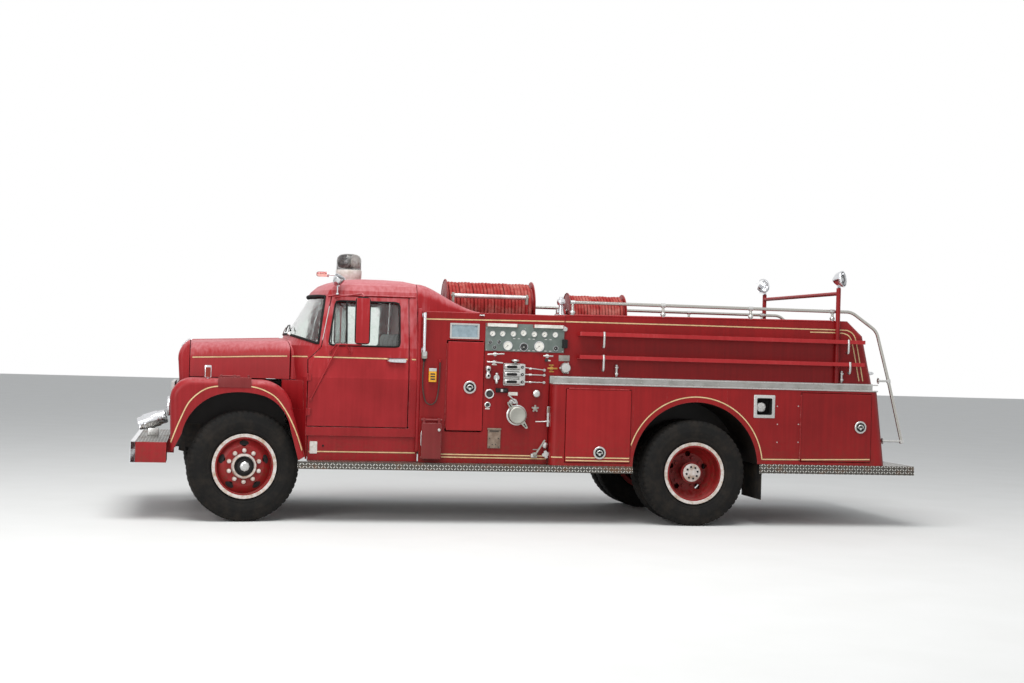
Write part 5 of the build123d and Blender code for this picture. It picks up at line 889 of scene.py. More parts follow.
# Suction ring, indicator, relief lever, ports and knobs
boss([(0, 0.047), (0.010, 0.045), (0.014, 0.040), (0.012, 0.033), (0.002, 0.031)], -0.471, 1.217, 36)
boss([(0.0022, 0.0325), (0.0023, 0)], -0.471, 1.217, 28, 2)
plate(-0.413, -0.298, 1.232, 1.273, 0.024, 0.005, 1)
plate(-0.367, -0.345, 1.240, 1.265, 0.0262, 0.002, 0, 0.02)
plate(-0.338, -0.312, 1.244, 1.261, 0.0262, 0.002, 2, 0.02)
plate(-0.291, -0.201, 1.207, 1.239, 0.004, 0.001, 3)
pipe([(-0.302, -houseY - 0.046, 1.213), (-0.27, -houseY - 0.044, 1.188), (-0.224, -houseY - 0.03, 1.150)], 0.0095,
     0.01, 12, 0, 0.6)
slab([(-0.285, 1.130), (-0.198, 1.130)] + ringPoints(-0.2415, 1.135, 0.043, 14, 0, 180), -houseY - 0.007, 0.007, 0)
stud(-0.232, 1.152, 0.024, 0.03, 0)
boss([(0, 0.029), (0.008, 0.028), (0.011, 0.022), (0.004, 0.016)], -0.486, 1.113, 28)
boss([(0.005, 0.017), (0.006, 0)], -0.486, 1.113, 16, 2)
plate(-0.508, -0.464, 1.072, 1.081, 0.003, 0.0006, 3)
boss([(0, 0.020), (0.006, 0.022), (0.02, 0.034), (0.034, 0.037), (0.046, 0.032), (0.053, 0.018), (0.055, 0)], -0.026,
     1.231, 32)
boss([(0, 0.012), (0.03, 0.012), (0.03, 0.02), (0.042, 0.02), (0.046, 0.012), (0.046, 0)], -0.035, 1.089, 16, 4)
for arm in range(5):
    t = math.radians(72 * arm + 18)
    lathe([(-0.007, 0), (-0.006, 0.009), (0.006, 0.009), (0.007, 0)], (-0.035 + 0.026 * math.cos(t), -houseY - 0.036,
                                                                       1.089 + 0.026 * math.sin(t)), houseFace, 10, 4)
# Rate lever on the box's front, the drain lever and its hand wheel, and a cover plate with screws
plate(0.078, 0.1045, 0.920, 1.112, 0.052, 0.006, 0, 0.020)
plate(0.082, 0.100, 1.052, 1.105, 0.056, 0.002, 5, 0.050)
pipe([(-0.030, -houseY - 0.040, 0.966), (0.05, -houseY - 0.040, 0.968), (0.090, -houseY - 0.046, 0.975)], 0.006, 0.01,
     10)
lathe([(-0.016, 0), (-0.014, 0.016), (0.014, 0.016), (0.016, 0)], (0.09, -houseY - 0.044, 0.972), houseFace, 16)
plate(-0.477, -0.355, 0.706, 0.892, 0.012, 0.004, 5)
plate(-0.482, -0.350, 0.880, 0.896, 0.018, 0.003, 5)
plate(-0.460, -0.372, 0.864, 0.872, 0.0175, 0.002, 2, 0.010)
for x, z in ((-0.458, 0.80), (-0.374, 0.80), (-0.458, 0.718), (-0.374, 0.718), (-0.432, 0.742), (-0.400, 0.742)):
    boss([(0.011, 0.006), (0.015, 0.005), (0.0155, 0)], x, z, 10, 2)
pipe([(0.066, -houseY - 0.042, 0.794), (0.034, -houseY - 0.044, 0.742), (-0.02, -houseY - 0.032, 0.655)], 0.010, 0.02,
     12, 4, 0.6)
boss([(0, 0.024), (0.03, 0.022), (0.036, 0.014), (0.036, 0)], -0.022, 0.652, 20, 4)
plate(-0.062, 0.0, 0.625, 0.664, 0.03, 0.008)
plate(-0.044, 0.006, 0.697, 0.706, 0.026, 0.002, 4, 0.016)
for arm in range(4):
    t = math.radians(90 * arm + 12)
    lathe([(-0.01, 0), (-0.009, 0.0165), (0.009, 0.0165), (0.01, 0)], (0.078 + 0.021 * math.cos(t), -houseY - 0.044,
                                                                       0.659 + 0.021 * math.sin(t)), houseFace, 14)
boss([(0, 0.012), (0.034, 0.012), (0.034, 0.026), (0.052, 0.024), (0.056, 0)], 0.078, 0.659, 20)
boss([(0, 0.024), (0.02, 0.030), (0.036, 0.026), (0.044, 0.012), (0.045, 0)], 0.072, 0.745, 24)
stud(0.240, 1.848, 0.022, 0.024)
block((0.2145, -houseY - 0.045, 1.667), (0.2615, -bodyY, 1.750), 0.006, 1)
plate(-0.578, -0.549, 1.944, 1.962, 0.010, 0.004, 1)
lathe([(-0.028, 0), (-0.024, 0.006), (0.024, 0.006), (0.028, 0)], (-0.5635, -houseY - 0.012, 1.953), rearward, 10, 0)
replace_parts(piece("pumpControls", [dullChrome, handleRubber, inkBlack, dialWhite, greyPaint, brownPlate]),
            "pump_controls")
pullHandle(0.072, 0.165, 1.472, 0.046)
plate(0.094, 0.140, 1.497, 1.509, 0.003, 0.0006)
plate(0.098, 0.142, 1.436, 1.449, 0.003, 0.0006)
piece("drainPull", agedBrass)
print("pump panel fitted")

# Suction caps: a cast disc with two slotted lugs, on each side
suction = {"x": -0.2055, "z": 1.023, "lean": 128}
for side in (-1, 1):
    out = Vector((0, side, 0))
    x, z = suction["x"], suction["z"]
    lathe([(0, 0.098), (0.008, 0.097), (0.012, 0.090), (0.012, 0.080)], (x, side * houseY, z), out, 48, 1)
    lathe([(0.012, 0.070), (0.02, 0.074), (0.022, 0.083), (0.030, 0.086), (0.052, 0.086), (0.060, 0.083),
           (0.066, 0.080), (0.070, 0.072), (0.071, 0.066), (0.069, 0.060), (0.069, 0)],
          (x, side * houseY, z), out, 56)
    for t in (suction["lean"], suction["lean"] + 180):
        c, s = polar(1, t)
        lug = ((0.060, -0.026), (0.10, -0.020), (0.150, -0.011), (0.157, 0), (0.150, 0.011), (0.10, 0.020),
               (0.060, 0.026))
        slot = ((0.10, -0.006), (0.138, -0.005), (0.138, 0.005), (0.10, 0.006))
        slab([(x + c * a - s * b, z + s * a + c * b) for a, b in lug], side * (houseY + 0.036), side * 0.020, 0,
             0.002)
        slab([(x + c * a - s * b, z + s * a + c * b) for a, b in slot], side * (houseY + 0.0555), side * 0.0012, 2)
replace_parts(piece("suctionCaps", [capAluminium, dullChrome, shadowSteel]), "suction_intakes")


# ---- cab: seals, glazing bars and bright parts ----
def arcThrough(a, via, b, steps):
    # points of the circle that runs from a over via to b
    (ax, ay), (bx, by), (cx, cy) = a, via, b
    d = 2 * (ax * (by - cy) + bx * (cy - ay) + cx * (ay - by))
    squares = (ax * ax + ay * ay, bx * bx + by * by, cx * cx + cy * cy)
    x = (squares[0] * (by - cy) + squares[1] * (cy - ay) + squares[2] * (ay - by)) / d
    y = (squares[0] * (cx - bx) + squares[1] * (ax - cx) + squares[2] * (bx - ax)) / d
    radius = math.hypot(ax - x, ay - y)
    start, end = math.atan2(ay - y, ax - x), math.atan2(cy - y, cx - x)
    end += 2 * math.pi * round((start - end) / (2 * math.pi))
    turns = [start + (end - start) * i / steps for i in range(steps + 1)]
    return [(x + radius * math.cos(t), y + radius * math.sin(t)) for t in turns]


cabShape = {"foot": 1.622, "rise": 0.484, "bow": 0.042, "front": (0.362, 0.640), "nose": (0.560, 0.500),
            "corner": (0.690, 0.765), "side": (0.948, 0.812)}


def cabAt(part, z):
    # this measure of the cab's plan at a height; the windows lean in
    low, high = cabShape[part]
    return low + (high - low) * (z - cabShape["foot"]) / cabShape["rise"]


def doorY(z):
    return cabAt("side", z)


def cabPlan(z):
    # half of the cab's plan at a height, as (station, y) from the middle of the front round to the side
    front, nose, corner, side = (cabAt(part, z) for part in ("front", "nose", "corner", "side"))
    bow = cabShape["bow"]
    radius = (nose * nose + bow * bow) / (2 * bow)
    line = [(front + radius - math.sqrt(radius * radius - (nose * i / 12) ** 2), nose * i / 12) for i in range(12)]
    start, end = (front + bow, nose), (corner, side)
    via = (start[0] + (corner - start[0]) * 0.55, nose + (side - nose) * 0.72)
    return line + arcThrough(start, via, end, 16)


def screenFoot(station):
    return 1.742 - 0.06 * (station - 0.3) if station < 0.4 else 1.736 - 0.3264 * (station - 0.4)


def screenHead(station):
    return 2.104 - 0.1455 * max(0, station - 0.64)


def screenEdge(edge, limit):
    line = []
    for index in range(29):
        z = 1.9
        for attempt in range(5):
            station, y = cabPlan(z)[index]
            z = edge(station)
        if station < limit:
            line.append((station, y, z))
    return line


def cabY(station, z):
    plan = cabPlan(z)
    for (s0, y0), (s1, y1) in zip(plan, plan[1:]):
        if s0 <= station <= s1:
            return y0 + (y1 - y0) * (station - s0) / (s1 - s0)
    return plan[-1][1]


seal = {"screen": 0.0125, "window": 0.0085, "divider": 0.008}
half = screenEdge(screenFoot, 0.684)
for i in range(9):
    station, z = 0.688 + 0.062 * i / 8, 1.642 + 0.446 * i / 8
    half.append((station, cabY(station, z), z))
half += screenEdge(screenHead, 0.746)[::-1]
half = [(frontAxleX + s - 0.002, y, z) for s, y, z in half]
whole = half + [(x, -y, z) for x, y, z in half[-2:0:-1]]
pipe(whole + whole[:1], seal["screen"], 0, 12)
piece("screenSeal", sealRubber, "root")
for side, label in sides:
    corners = ((1.10, 1.632), (1.448, 1.632), (1.448, 2.050), (0.846, 2.050), (0.782, 1.632), (1.10, 1.632))
    line = [(frontAxleX + s, side * (doorY(z) + 0.0005), z) for s, z in corners]
    pipe(line, seal["window"], 0.05, 10)
    foot, head = ((frontAxleX + 0.951, side * (doorY(z) - 0.001), z) for z in (1.634, 2.048))
    pipe([foot, head], seal["divider"], 0, 10)
    mirror = ((1.065, 1.6585), (1.124, 1.6585), (1.124, 2.0695), (1.006, 2.0695), (1.006, 1.6585), (1.065, 1.6585))
    pipe([(frontAxleX + s, side * 1.2333, z) for s, z in mirror], 0.0125, 0.03, 10)
    piece("doorSeals_" + label, sealRubber, "cab_door_" + label)
    # Silvered glass on the mirror's inner face, and the chrome handle with its push button
    slab(boxPoints(frontAxleX + 1.012, frontAxleX + 1.118, 1.665, 2.063, 0.02), side * 1.2185, side * 0.003)
    reach = side * abs(skinPoint(("door_" + label,), frontAxleX + 1.415, 1.505, side)[0].y)
    for s0, s1 in ((1.337, 1.365), (1.467, 1.495)):
        block((frontAxleX + s0, reach, 1.493), (frontAxleX + s1, reach - side * 0.044, 1.517), 0.004)
    outline = [(1.331, 1.498), (1.345, 1.490), (1.440, 1.4885), (1.500, 1.488), (1.505, 1.500), (1.502, 1.5185),
               (1.490, 1.5225), (1.345, 1.5205), (1.333, 1.512)]
    slab([(frontAxleX + s, z) for s, z in outline], reach + side * 0.003, -side * 0.022, 0, 0.005)
    lathe([(0, 0.010), (0.010, 0.0095), (0.012, 0)], (frontAxleX + 1.484, reach + side * 0.002, 1.505), (0, side, 0),
          18)
    piece("doorBright_" + label, chrome, "cab_door_" + label)
# Drip rails over the doors and the strip that closes the cab to the pump house
for side in (-1, 1):
    drip = ((0.775, 2.092), (0.86, 2.104), (1.20, 2.108), (1.60, 2.108))
    pipe([(frontAxleX + s, side * (doorY(z) + 0.004), z) for s, z in drip], 0.0075, 0.05, 10)
    block((-1.1545, side * 0.90, 0.66), (-1.1265, side * 1.018, 2.0), 0.006)
piece("cabSeams", cabEnamel)


# Wipers parked on the foot of the windscreen
def onScreen(y, z, lift=0.0):
    return (frontAxleX + cabPlan(z)[min(12, round(abs(y) / 0.0467))][0] - lift, y, z)


for side in (-1, 1):
    pivot = onScreen(side * 0.52, 1.722, 0.012)
    lathe([(-0.02, 0.016), (0.012, 0.016), (0.022, 0.012), (0.026, 0)], pivot, (-0.8, 0, 0.6), 20)
    arm = ((0.52, 1.722, 0.03), (0.44, 1.765, 0.034), (0.28, 1.800, 0.028))
    pipe([onScreen(side * y, z, lift) for y, z, lift in arm], 0.005, 0.03, 8)
    blade = ((0.475, 1.758), (0.42, 1.768), (0.374, 1.776), (0.327, 1.784), (0.28, 1.792), (0.233, 1.800),
             (0.187, 1.808), (0.14, 1.816))
    pipe([onScreen(side * y, z, 0.017) for y, z in blade], 0.0065, 0, 8, 1)
piece("wipers", [dullChrome, sealRubber])
print("cab trimmed")


# ---- beside the cab ----
fittings = {"handleX": -1.1095, "handleY": 1.102, "stepX": (-1.1195, -0.9195), "stepZ": (0.597, 0.980)}
x, y = fittings["handleX"], fittings["handleY"]
pipe([(x, -y, 1.6005), (x, -y, 1.956)], 0.0145, 0, 20)
for z, low, high in ((1.613, 1.574, 1.640), (1.944, 1.917, 1.957)):
    block((x - 0.013, -y - 0.012, z - 0.014), (x + 0.013, -houseY, z + 0.014), 0.007)
    slab(boxPoints(x - 0.0175, x + 0.0185, low, high, 0.008), -houseY - 0.005, 0.0049)
    lathe(rod(-0.0165, 0.0165, 0.0155), (x, -y, z), upward, 20)
piece("grabHandle", chrome)
# Cord plug: a cast socket with a sprung cover, and a stem down to the cord
slab(boxPoints(-1.1255, -1.0775, 1.531, 1.599, 0.012), -houseY - 0.050, 0.05, 0, 0.005)
slab(boxPoints(-1.1215, -1.0815, 1.552, 1.602, 0.010), -houseY - 0.0515, 0.006, 1, 0.002)
lathe([(0, 0), (0, 0.008), (0.006, 0.0125), (0.03, 0.015), (0.034, 0.015)], (-1.1025, -houseY - 0.024, 1.503), upward,
      20, 2)
lathe([(0, 0), (0, 0.008), (0.006, 0.011), (0.026, 0.012), (0.029, 0.012)], (-0.9515, -houseY - 0.024, 1.500), upward,
      20, 3)
plate(-0.9635, -0.9405, 1.508, 1.5295, 0.030, 0.004, 3)
# Switch box in yellow with a grey lid
plate(-1.0535, -0.9825, 1.3155, 1.4445, 0.030, 0.003, 4)
plate(-1.0530, -0.9830, 1.415, 1.4445, 0.0335, 0.002, 1, 0.002)
for row in range(3):
    slab(boxPoints(-1.040, -0.996, 1.335 + row * 0.024, 1.349 + row * 0.024, 0.002), -houseY - 0.0312, 0.0016, 5)
piece("plugAndSwitch", [greyPaint, dullChrome, handleRubber, hatchEnamel, yellowEnamel, inkBlack], "root")
(x0, x1), (z0, z1) = fittings["stepX"], fittings["stepZ"]
slab(boxPoints(x0 + 0.008, x1 - 0.006, z0, z1 - 0.045, 0.012), -houseY - 0.0695, 0.02, 0, 0.004)
plate(x0 + 0.022, x1 - 0.020, z0 + 0.01, z1 - 0.05, 0.052, 0.004)
for z in (z1 - 0.018, z0 + 0.012):
    lathe(rod(0, 0.199, 0.0115), (x0 + 0.0005, -houseY - 0.046, z), rearward, 16)
for x in (x0 + 0.028, x1 - 0.030):
    plate(x - 0.012, x + 0.012, z1 - 0.075, z1, 0.064, 0.005)
pipe([(x0 + 0.012, -houseY - 0.058, 0.86), (x0 + 0.0035, -houseY - 0.064, 0.845),
      (x0 + 0.0035, -houseY - 0.064, 0.73), (x0 + 0.012, -houseY - 0.058, 0.715)], 0.0035, 0.01, 8, 2)
lathe([(0, 0.014), (0.012, 0.013), (0.014, 0.006), (0.014, 0)], (x1 - 0.03, -houseY - 0.0695, 0.872), houseFace, 18,
      2)
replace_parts(piece("foldingStep", [brownRed, shadowSteel, dullChrome]), "side_fittings")
# Framed card holder above the tall locker, left bare
outer, inner = boxPoints(-0.863, -0.584, 1.728, 1.873, 0.006, 2), boxPoints(-0.847, -0.600, 1.744, 1.857, 0.003, 2)
for a, b, c, d in zip(outer, outer[1:] + outer[:1], inner[1:] + inner[:1], inner):
    for quad in (((a, 0.0002), (b, 0.0002), (b, 0.008), (a, 0.008)), ((a, 0.008), (b, 0.008), (c, 0.008), (d, 0.008)),
                 ((d, 0.008), (c, 0.008), (c, 0.0012), (d, 0.0012))):
        form.faces.new([form.verts.new((px, -houseY - out, pz)) for (px, pz), out in quad])
slab(inner, -houseY - 0.0014, 0.0012, 1)
plate(-0.622, -0.612, 1.845, 1.850, 0.0085, 0.0003, 2, 0.007)
bmesh.ops.remove_doubles(form, verts=form.verts, dist=0.0001)
piece("cardHolder", [dullChrome, cardGlass, inkBlack], "root")


# ---- latches ----
# A cast ring with a sunk D handle
def latch(x, z, y, side, radius):
    outward = (0, side, 0)
    ring = ((0, 1), (0.004, 1), (0.007, 0.94), (0.007, 0.74), (0.002, 0.70))
    lathe([(a, radius * r) for a, r in ring], (x, y, z), outward, 40)
    lathe([(0.0021, radius * 0.72), (0.0012, 0)], (x, y, z), outward, 32, 1)
    spread = radius * 0.46
    bow = ((-1, 0.004, -0.1), (-0.7, 0.014, 0.55), (0, 0.016, 0.8), (0.7, 0.014, 0.55), (1, 0.004, -0.1))
    grip = [(x + spread * a, y + side * out, z + spread * c) for a, out, c in bow]
    pipe(grip, 0.0062, 0.01, 10)
    lathe([(0, 0.013), (0.010, 0.012), (0.012, 0.006), (0.012, 0)], (x, y, z - spread * 0.55), outward, 16)
    block((x - spread, y, z - spread * 0.35), (x + spread, y + side * 0.012, z - spread * 0.1), 0.003)


for name, body, x, z in (("tall", "tall_hatch_", -0.663, 1.274), ("mid", "mid_hatch_", 0.575, 0.688),
                         ("rear", "rear_hatch_", 3.185, 0.980)):
    for side, label in sides:
        # the CAD door carries a plain round boss there, so the ring sits on its face
        y = skinPoint((name + "_door_" + label,), x, z, side)[0].y
        latch(x, z, y, side, 0.060)
        piece(name + "Latch_" + label, [dullChrome, shadowSteel], body + label)
print("latches fitted")


# ---- hose reels ----
# Booster hose wound side by side on each drum, a little unevenly, between two rolled flanges
reels = (
    # name, body, front face, rear face, height of the shaft, flange radius, hose radius, turns
    ("front", "front_reel", -0.7765, 0.1135, 2.075, 0.255, 0.0178, 24),
    ("rear", "rear_reel", 0.4785, 1.0655, 2.010, 0.225, 0.0160, 17),
)
random.seed(4)
for name, body, x0, x1, z, radius, hose, turns in reels:
    for x, way in ((x0, 1), (x1, -1)):
        rim = [(0.0045, 0.018), (0.0045, 0.060), (0.001, 0.066), (0.001, radius * 0.84), (0.006, radius * 0.90),
               (0.004, radius * 0.96), (0.0005, radius * 0.985), (0.002, radius), (0.009, radius),
               (0.0115, radius * 0.985), (0.0115, 0.06), (0.0115, 0.018)]
        lathe(rim, (x, 0, z), (way, 0, 0), 72)
        lathe([(-0.0015, 0.018), (-0.0015, 0.052), (0.0045, 0.060)], (x, 0, z), (way, 0, 0), 32, 1)
        for bolt in range(6):
            t = math.radians(60 * bolt)
            lathe([(0.002, 0), (-0.0015, 0.007), (0.0005, 0.008), (0.0045, 0.008)],
                  (x, 0.04 * math.cos(t), z + 0.04 * math.sin(t)), (way, 0, 0), 6, 1)
    drum = radius - 0.026 - hose * 2
    lathe([(x0 + 0.011, drum), (x1 - 0.011, drum)], (0, 0, z), rearward, 48)
    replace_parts(piece(name + "ReelDrum", [wheelEnamel, dullChrome], body), "reel_" + name)
    start, pitch = x0 + 0.013 + hose, (x1 - x0 - 0.026 - 2 * hose) / turns
    sway = [random.uniform(-0.22, 0.22) for turn in range(turns * 2 + 2)]
    route = []
    for step in range(turns * 40 + 1):
        t = step / 40
        low = int(t * 2)
        drift = sway[low] + (sway[low + 1] - sway[low]) * (t * 2 - low)
        ease = min(1, t, turns - t)
        x = start + pitch * (t + drift * ease * 0.5)
        r = drum + hose + 0.0035 + 0.0022 * math.sin(t * 5.1) * ease
        route.append((x, r * math.cos(2 * math.pi * t), z + r * math.sin(2 * math.pi * t)))
    pipe(route, hose * 0.97, 0, 9)
    piece(name + "ReelHose", hoseRubber, body, soften=True)
for name, body, x0, x1, z, radius, hose, turns in reels:
    floor = 1.7785 if name == "front" else 1.501
    for low in (x0 - 0.030, x1 + 0.014):
        arch = [polar(1, degrees) for degrees in range(20, 161, 20)]
        outline = [(-0.15, floor), (0.15, floor), (0.15, floor + 0.10), (0.075, z + 0.02)]
        outline += [(0.075 * c, z + 0.059 * s) for c, s in arch] + [(-0.075, z + 0.02), (-0.15, floor + 0.10)]
        near, far = ([form.verts.new((x, py, pz)) for py, pz in outline] for x in (low, low + 0.016))
        bridge([near, far])
        for end in (near, far):
            form.faces.new(end)
        lathe([(-0.004, 0.036), (0.020, 0.036)], (low, 0, z), rearward, 28, 1)
        for way in (-0.0042, 0.0202):
            lathe([(way, 0.036), (way, 0.0165)], (low, 0, z), rearward, 28, 1)
    lathe([(x0 - 0.032, 0), (x0 - 0.032, 0.0155), (x1 + 0.032, 0.0155), (x1 + 0.032, 0)], (0, 0, z), rearward, 24, 1)
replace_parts(piece("reelStands", [bodyEnamel, castIron]), "reel_stands")
# Roller that the hose runs out over, in two cast cheeks bolted to the well's wall
roller = {"x": (-0.7545, -0.0485), "y": -0.530, "z": 2.150}
(x0, x1), y, z = roller["x"], roller["y"], roller["z"]
lathe([(x0, 0), (x0, 0.021), (x0 + 0.04, 0.021), (x0 + 0.045, 0.0222), (x1 - 0.045, 0.0222), (x1 - 0.04, 0.021),
       (x1, 0.021), (x1, 0)], (0, y, z), rearward, 28)
for low, high in ((x0 - 0.022, x0), (x1, x1 + 0.022)):
    block((low, y - 0.0295, 1.9025), (high, y + 0.0295, 2.085), 0.005, 2)
    block((low, y - 0.0295, 2.080), (high, y + 0.0295, z - 0.004), 0.005, 1)
    lathe([(low, 0), (low, 0.027), (low + 0.003, 0.0298), (high - 0.003, 0.0298), (high, 0.027), (high, 0)],
          (0, y, z), rearward, 28, 1)
    way = -1 if low < -0.4 else 1
    lathe([(0, 0.013), (0.008 * way, 0.013), (0.008 * way, 0)], (low if way < 0 else high, y, z), rearward, 6, 1)
piece("hoseRoller", [rollerZinc, greyPaint, bodyEnamel])
print("reels wound")


# ---- roof and front lamps ----
spotLamp = {"middle": (-1.9085, -0.862, 2.240), "looks": (0.42, -0.38, 0.82)}
middle, looks = Vector(spotLamp["middle"]), Vector(spotLamp["looks"]).normalized()
lathe([(-0.058, 0), (-0.056, 0.012), (-0.046, 0.026), (-0.022, 0.043), (0.008, 0.053), (0.028, 0.0555),
       (0.036, 0.057), (0.042, 0.055), (0.040, 0.049)], middle, looks, 40)
lathe([(0.039, 0.050), (0.048, 0.030), (0.051, 0)], middle, looks, 40, 1)
pipe([(-1.9085, -0.828, 2.113), (-1.9085, -0.842, 2.16), (-1.9085, -0.850, 2.196), tuple(middle - looks * 0.045)],
     0.0078, 0.02, 12)
lathe([(0, 0.015), (0.010, 0.015), (0.014, 0.011), (0.014, 0)], (-1.9085, -0.828, 2.1105), upward, 20)
lathe(rod(-0.016, 0.016, 0.011), (-1.9085, -0.850, 2.192), rearward, 16)
# Amber marker on its arm
lathe(rod(-1.9665, -1.8865, 0.0095), (0, -0.30, 2.318), rearward, 16)
lathe([(2.2525, 0.016), (2.258, 0.014), (2.262, 0.0098), (2.323, 0.0098), (2.323, 0)], (-1.8905, -0.30, 0), upward,
      16)
lathe([(-1.972, 0), (-1.972, 0.024), (-1.962, 0.0258), (-1.955, 0.0258), (-1.952, 0.010), (-1.952, 0)],
      (0, -0.30, 2.318), rearward, 28)
lathe([(-1.9725, 0.0245), (-2.02, 0.0255), (-2.056, 0.0245), (-2.070, 0.018), (-2.0755, 0.008), (-2.0755, 0)],
      (0, -0.30, 2.318), rearward, 28, 2)
for side in (-1, 1):
    # Marker lamps on the fenders: an upright chrome case with an amber glass to the side and to the front
    block((-3.1075, side * 0.966, 1.3015), (-3.0470, side * 1.034, 1.4175), 0.008)
    slab(boxPoints(-3.1005, -3.0540, 1.310, 1.398, 0.005), side * 1.0335, side * 0.004, 3, 0.001)
    block((-3.1085, side * 0.974, 1.310), (-3.1060, side * 1.026, 1.398), 0.001, 3)
    lathe([(0, 0.0165), (0.005, 0.0165), (0.008, 0.0105), (0.010, 0.0105)], (-3.0765, side * 1.0, 1.295), upward, 20)
piece("roofAndFenderLamps", [chrome, clearLens, amberLens, markerLens])
# Siren: a spun bowl with a slotted front, an electric motor behind it and a cast foot
siren = {"mouth": (-3.7165, -0.100, 0.822), "axis": (0.95, 0, 0.31)}
mouth, axis = Vector(siren["mouth"]), Vector(siren["axis"]).normalized()
lathe([(0.012, 0.050), (0.0, 0.054), (0.0005, 0.0595), (0.010, 0.0615), (0.05, 0.064), (0.058, 0.0735),
       (0.070, 0.0758), (0.190, 0.0758), (0.204, 0.0735), (0.206, 0.066), (0.262, 0.0655), (0.272, 0.058),
       (0.276, 0.040), (0.276, 0)],
      mouth, axis, 48)
lathe([(0.013, 0.050), (0.014, 0)], mouth, axis, 32, 1)
aim, first, second = aroundAxis(axis)
for bar in range(-3, 4):
    reach = math.sqrt(0.0505 ** 2 - (bar * 0.014) ** 2)
    across = first * (bar * 0.014) + aim * 0.0065
    pipe([mouth + across - second * reach, mouth + across + second * reach], 0.0026, 0, 8)
block((-3.6265, -0.138, 0.7125), (-3.5265, -0.062, 0.790), 0.010, 2)
for y in (-0.128, -0.072):
    lathe([(0, 0.009), (0.009, 0.009), (0.010, 0)], (-3.6335, y, 0.7125), upward, 6, 2)
piece("siren", [chrome, shadowSteel, dullChrome])
print("roof lamps and siren built")


# ---- body trim ----
for side in (-1, 1):
    # Chrome ball feet under the rail's posts
    for station in (3.080, 3.975, 4.859, 5.700):
        x, y = frontAxleX + station, side * 1.016
        foot = topOf(("pump_house", "hose_body"), x, y)
        lathe([(0, 0.021), (0.004, 0.021), (0.008, 0.016), (0.012, 0.0225), (0.024, 0.0265), (0.036, 0.0225),
               (0.042, 0.0155)], (x, y, foot), upward, 24)
        lathe([(-0.024, 0.0165), (-0.020, 0.0205), (0.020, 0.0205), (0.024, 0.0165)], (x, y, 2.106), rearward, 24)
    # Brackets between the tail and the ends of the rails
    for (x0, y0), (x1, y1), z in (((3.392, 1.10), (3.505, 1.096), 1.437), ((3.452, 1.10), (3.648, 1.1135), 0.848)):
        pipe([(x0, side * y0, z), (x1, side * y1, z)], 0.0105, 0, 14)
        lathe([(0, 0.030), (0.005, 0.029), (0.008, 0.014)], (x0, side * y0, z), rearward, 24)
        lathe([(-0.018, 0.0165), (-0.016, 0.0215), (0.016, 0.0215), (0.018, 0.0165)], (x1, side * y1, z),
              (0.2, 0, -1) if z > 1 else (0.24, 0, -1), 20)
    # Half-round beads along the rub rail
    for z in (1.336, 1.394):
        pipe([(0.110, side * 1.1755, z), (3.362, side * 1.1755, z)], 0.0055, 0, 8)
piece("railFeetAndBeads", dullChrome)
for side in (-1, 1):
    # Rolled edge of the sheet along the top of the pump house and the body
    stations = [-1.10 + 0.145 * i for i in range(29)]
    heights = [topOf(("pump_house", "hose_body"), x, side * 1.020) - 0.006 for x in stations]
    pipe([(x, side * 1.026, z) for x, z in zip(stations, heights)], 0.0115, 0, 10)
piece("rolledEdge", bodyEnamel)
for side in (-1, 1):
    # Screwed covers and the rub rail's screws
    for x, z in ((2.335, 1.167), (2.340, 0.993), (2.341, 0.819), (2.549, 1.172), (2.554, 0.997), (2.555, 0.823)):
        hit = skinPoint(("side_box_left", "side_box_right"), x, z, side)
        lathe([(0, 0.0065), (0.0025, 0.0055), (0.0035, 0)], hit[0], (0, side, 0), 12)
    for i in range(13):
        lathe([(0, 0.0055), (0.0025, 0.0045), (0.003, 0)], (0.20 + i * 0.255, side * 1.1762, 1.365), (0, side, 0), 10)
piece("screws", dullChrome)
# Straps and clamps for the hard suction hose, hung from the shelves
for side in (-1, 1):
    for x, z0, z1 in ((0.600, 1.681, 1.800), (0.600, 1.463, 1.582), (3.057, 1.694, 1.800), (3.077, 1.499, 1.582)):
        pipe([(x, side * 1.146, z1 + 0.03), (x, side * 1.154, z1), (x, side * 1.1505, z0 + 0.022),
              (x, side * 1.142, z0 + 0.004), (x, side * 1.125, z0), (x, side * 1.105, z0 + 0.012)], 0.0115, 0.03, 12)
        lathe([(0, 0.009), (0.004, 0.008), (0.005, 0)], (x, side * 1.1525, z1 - 0.01), (0, side, 0), 12)
    for x in (0.750, 3.028):
        block((x - 0.009, side * 1.036, 1.412), (x + 0.009, side * 1.066, 1.524), 0.003)
        for z in (1.498, 1.436):
            lathe([(0, 0.014), (0.010, 0.014), (0.014, 0.008), (0.014, 0)], (x, side * 1.066, z), (0, side, 0), 16)
piece("suctionStraps", dullChrome)
# Fuel filler: a pressed frame round a dark recess with the cap in it
filler = {"x": (2.0965, 2.3095), "z": (1.0515, 1.2725), "y": (-1.1778, -1.0605), "wall": 0.030}
(x0, x1), (z0, z1), (front, back), wall = filler["x"], filler["z"], filler["y"], filler["wall"]
outer = boxPoints(x0, x1, z0, z1, 0.008, 3)
middle = boxPoints(x0 + 0.006, x1 - 0.006, z0 + 0.006, z1 - 0.006, 0.007, 3)
inner = boxPoints(x0 + wall, x1 - wall, z0 + wall, z1 - wall, 0.012, 3)
levels = ((outer, -1.1705), (outer, -1.1740), (middle, front), (inner, front), (inner, back))
rings = [[form.verts.new((px, y, pz)) for px, pz in line] for line, y in levels]
bridge(rings[:4])
bridge(rings[3:], 1)
form.faces.new(rings[-1]).material_index = 1
lathe([(0, 0.036), (0.045, 0.036), (0.047, 0.048), (0.052, 0.051), (0.066, 0.050), (0.071, 0.044), (0.072, 0.02),
       (0.072, 0)], (2.186, back, 1.152), (0, -1, 0), 36)
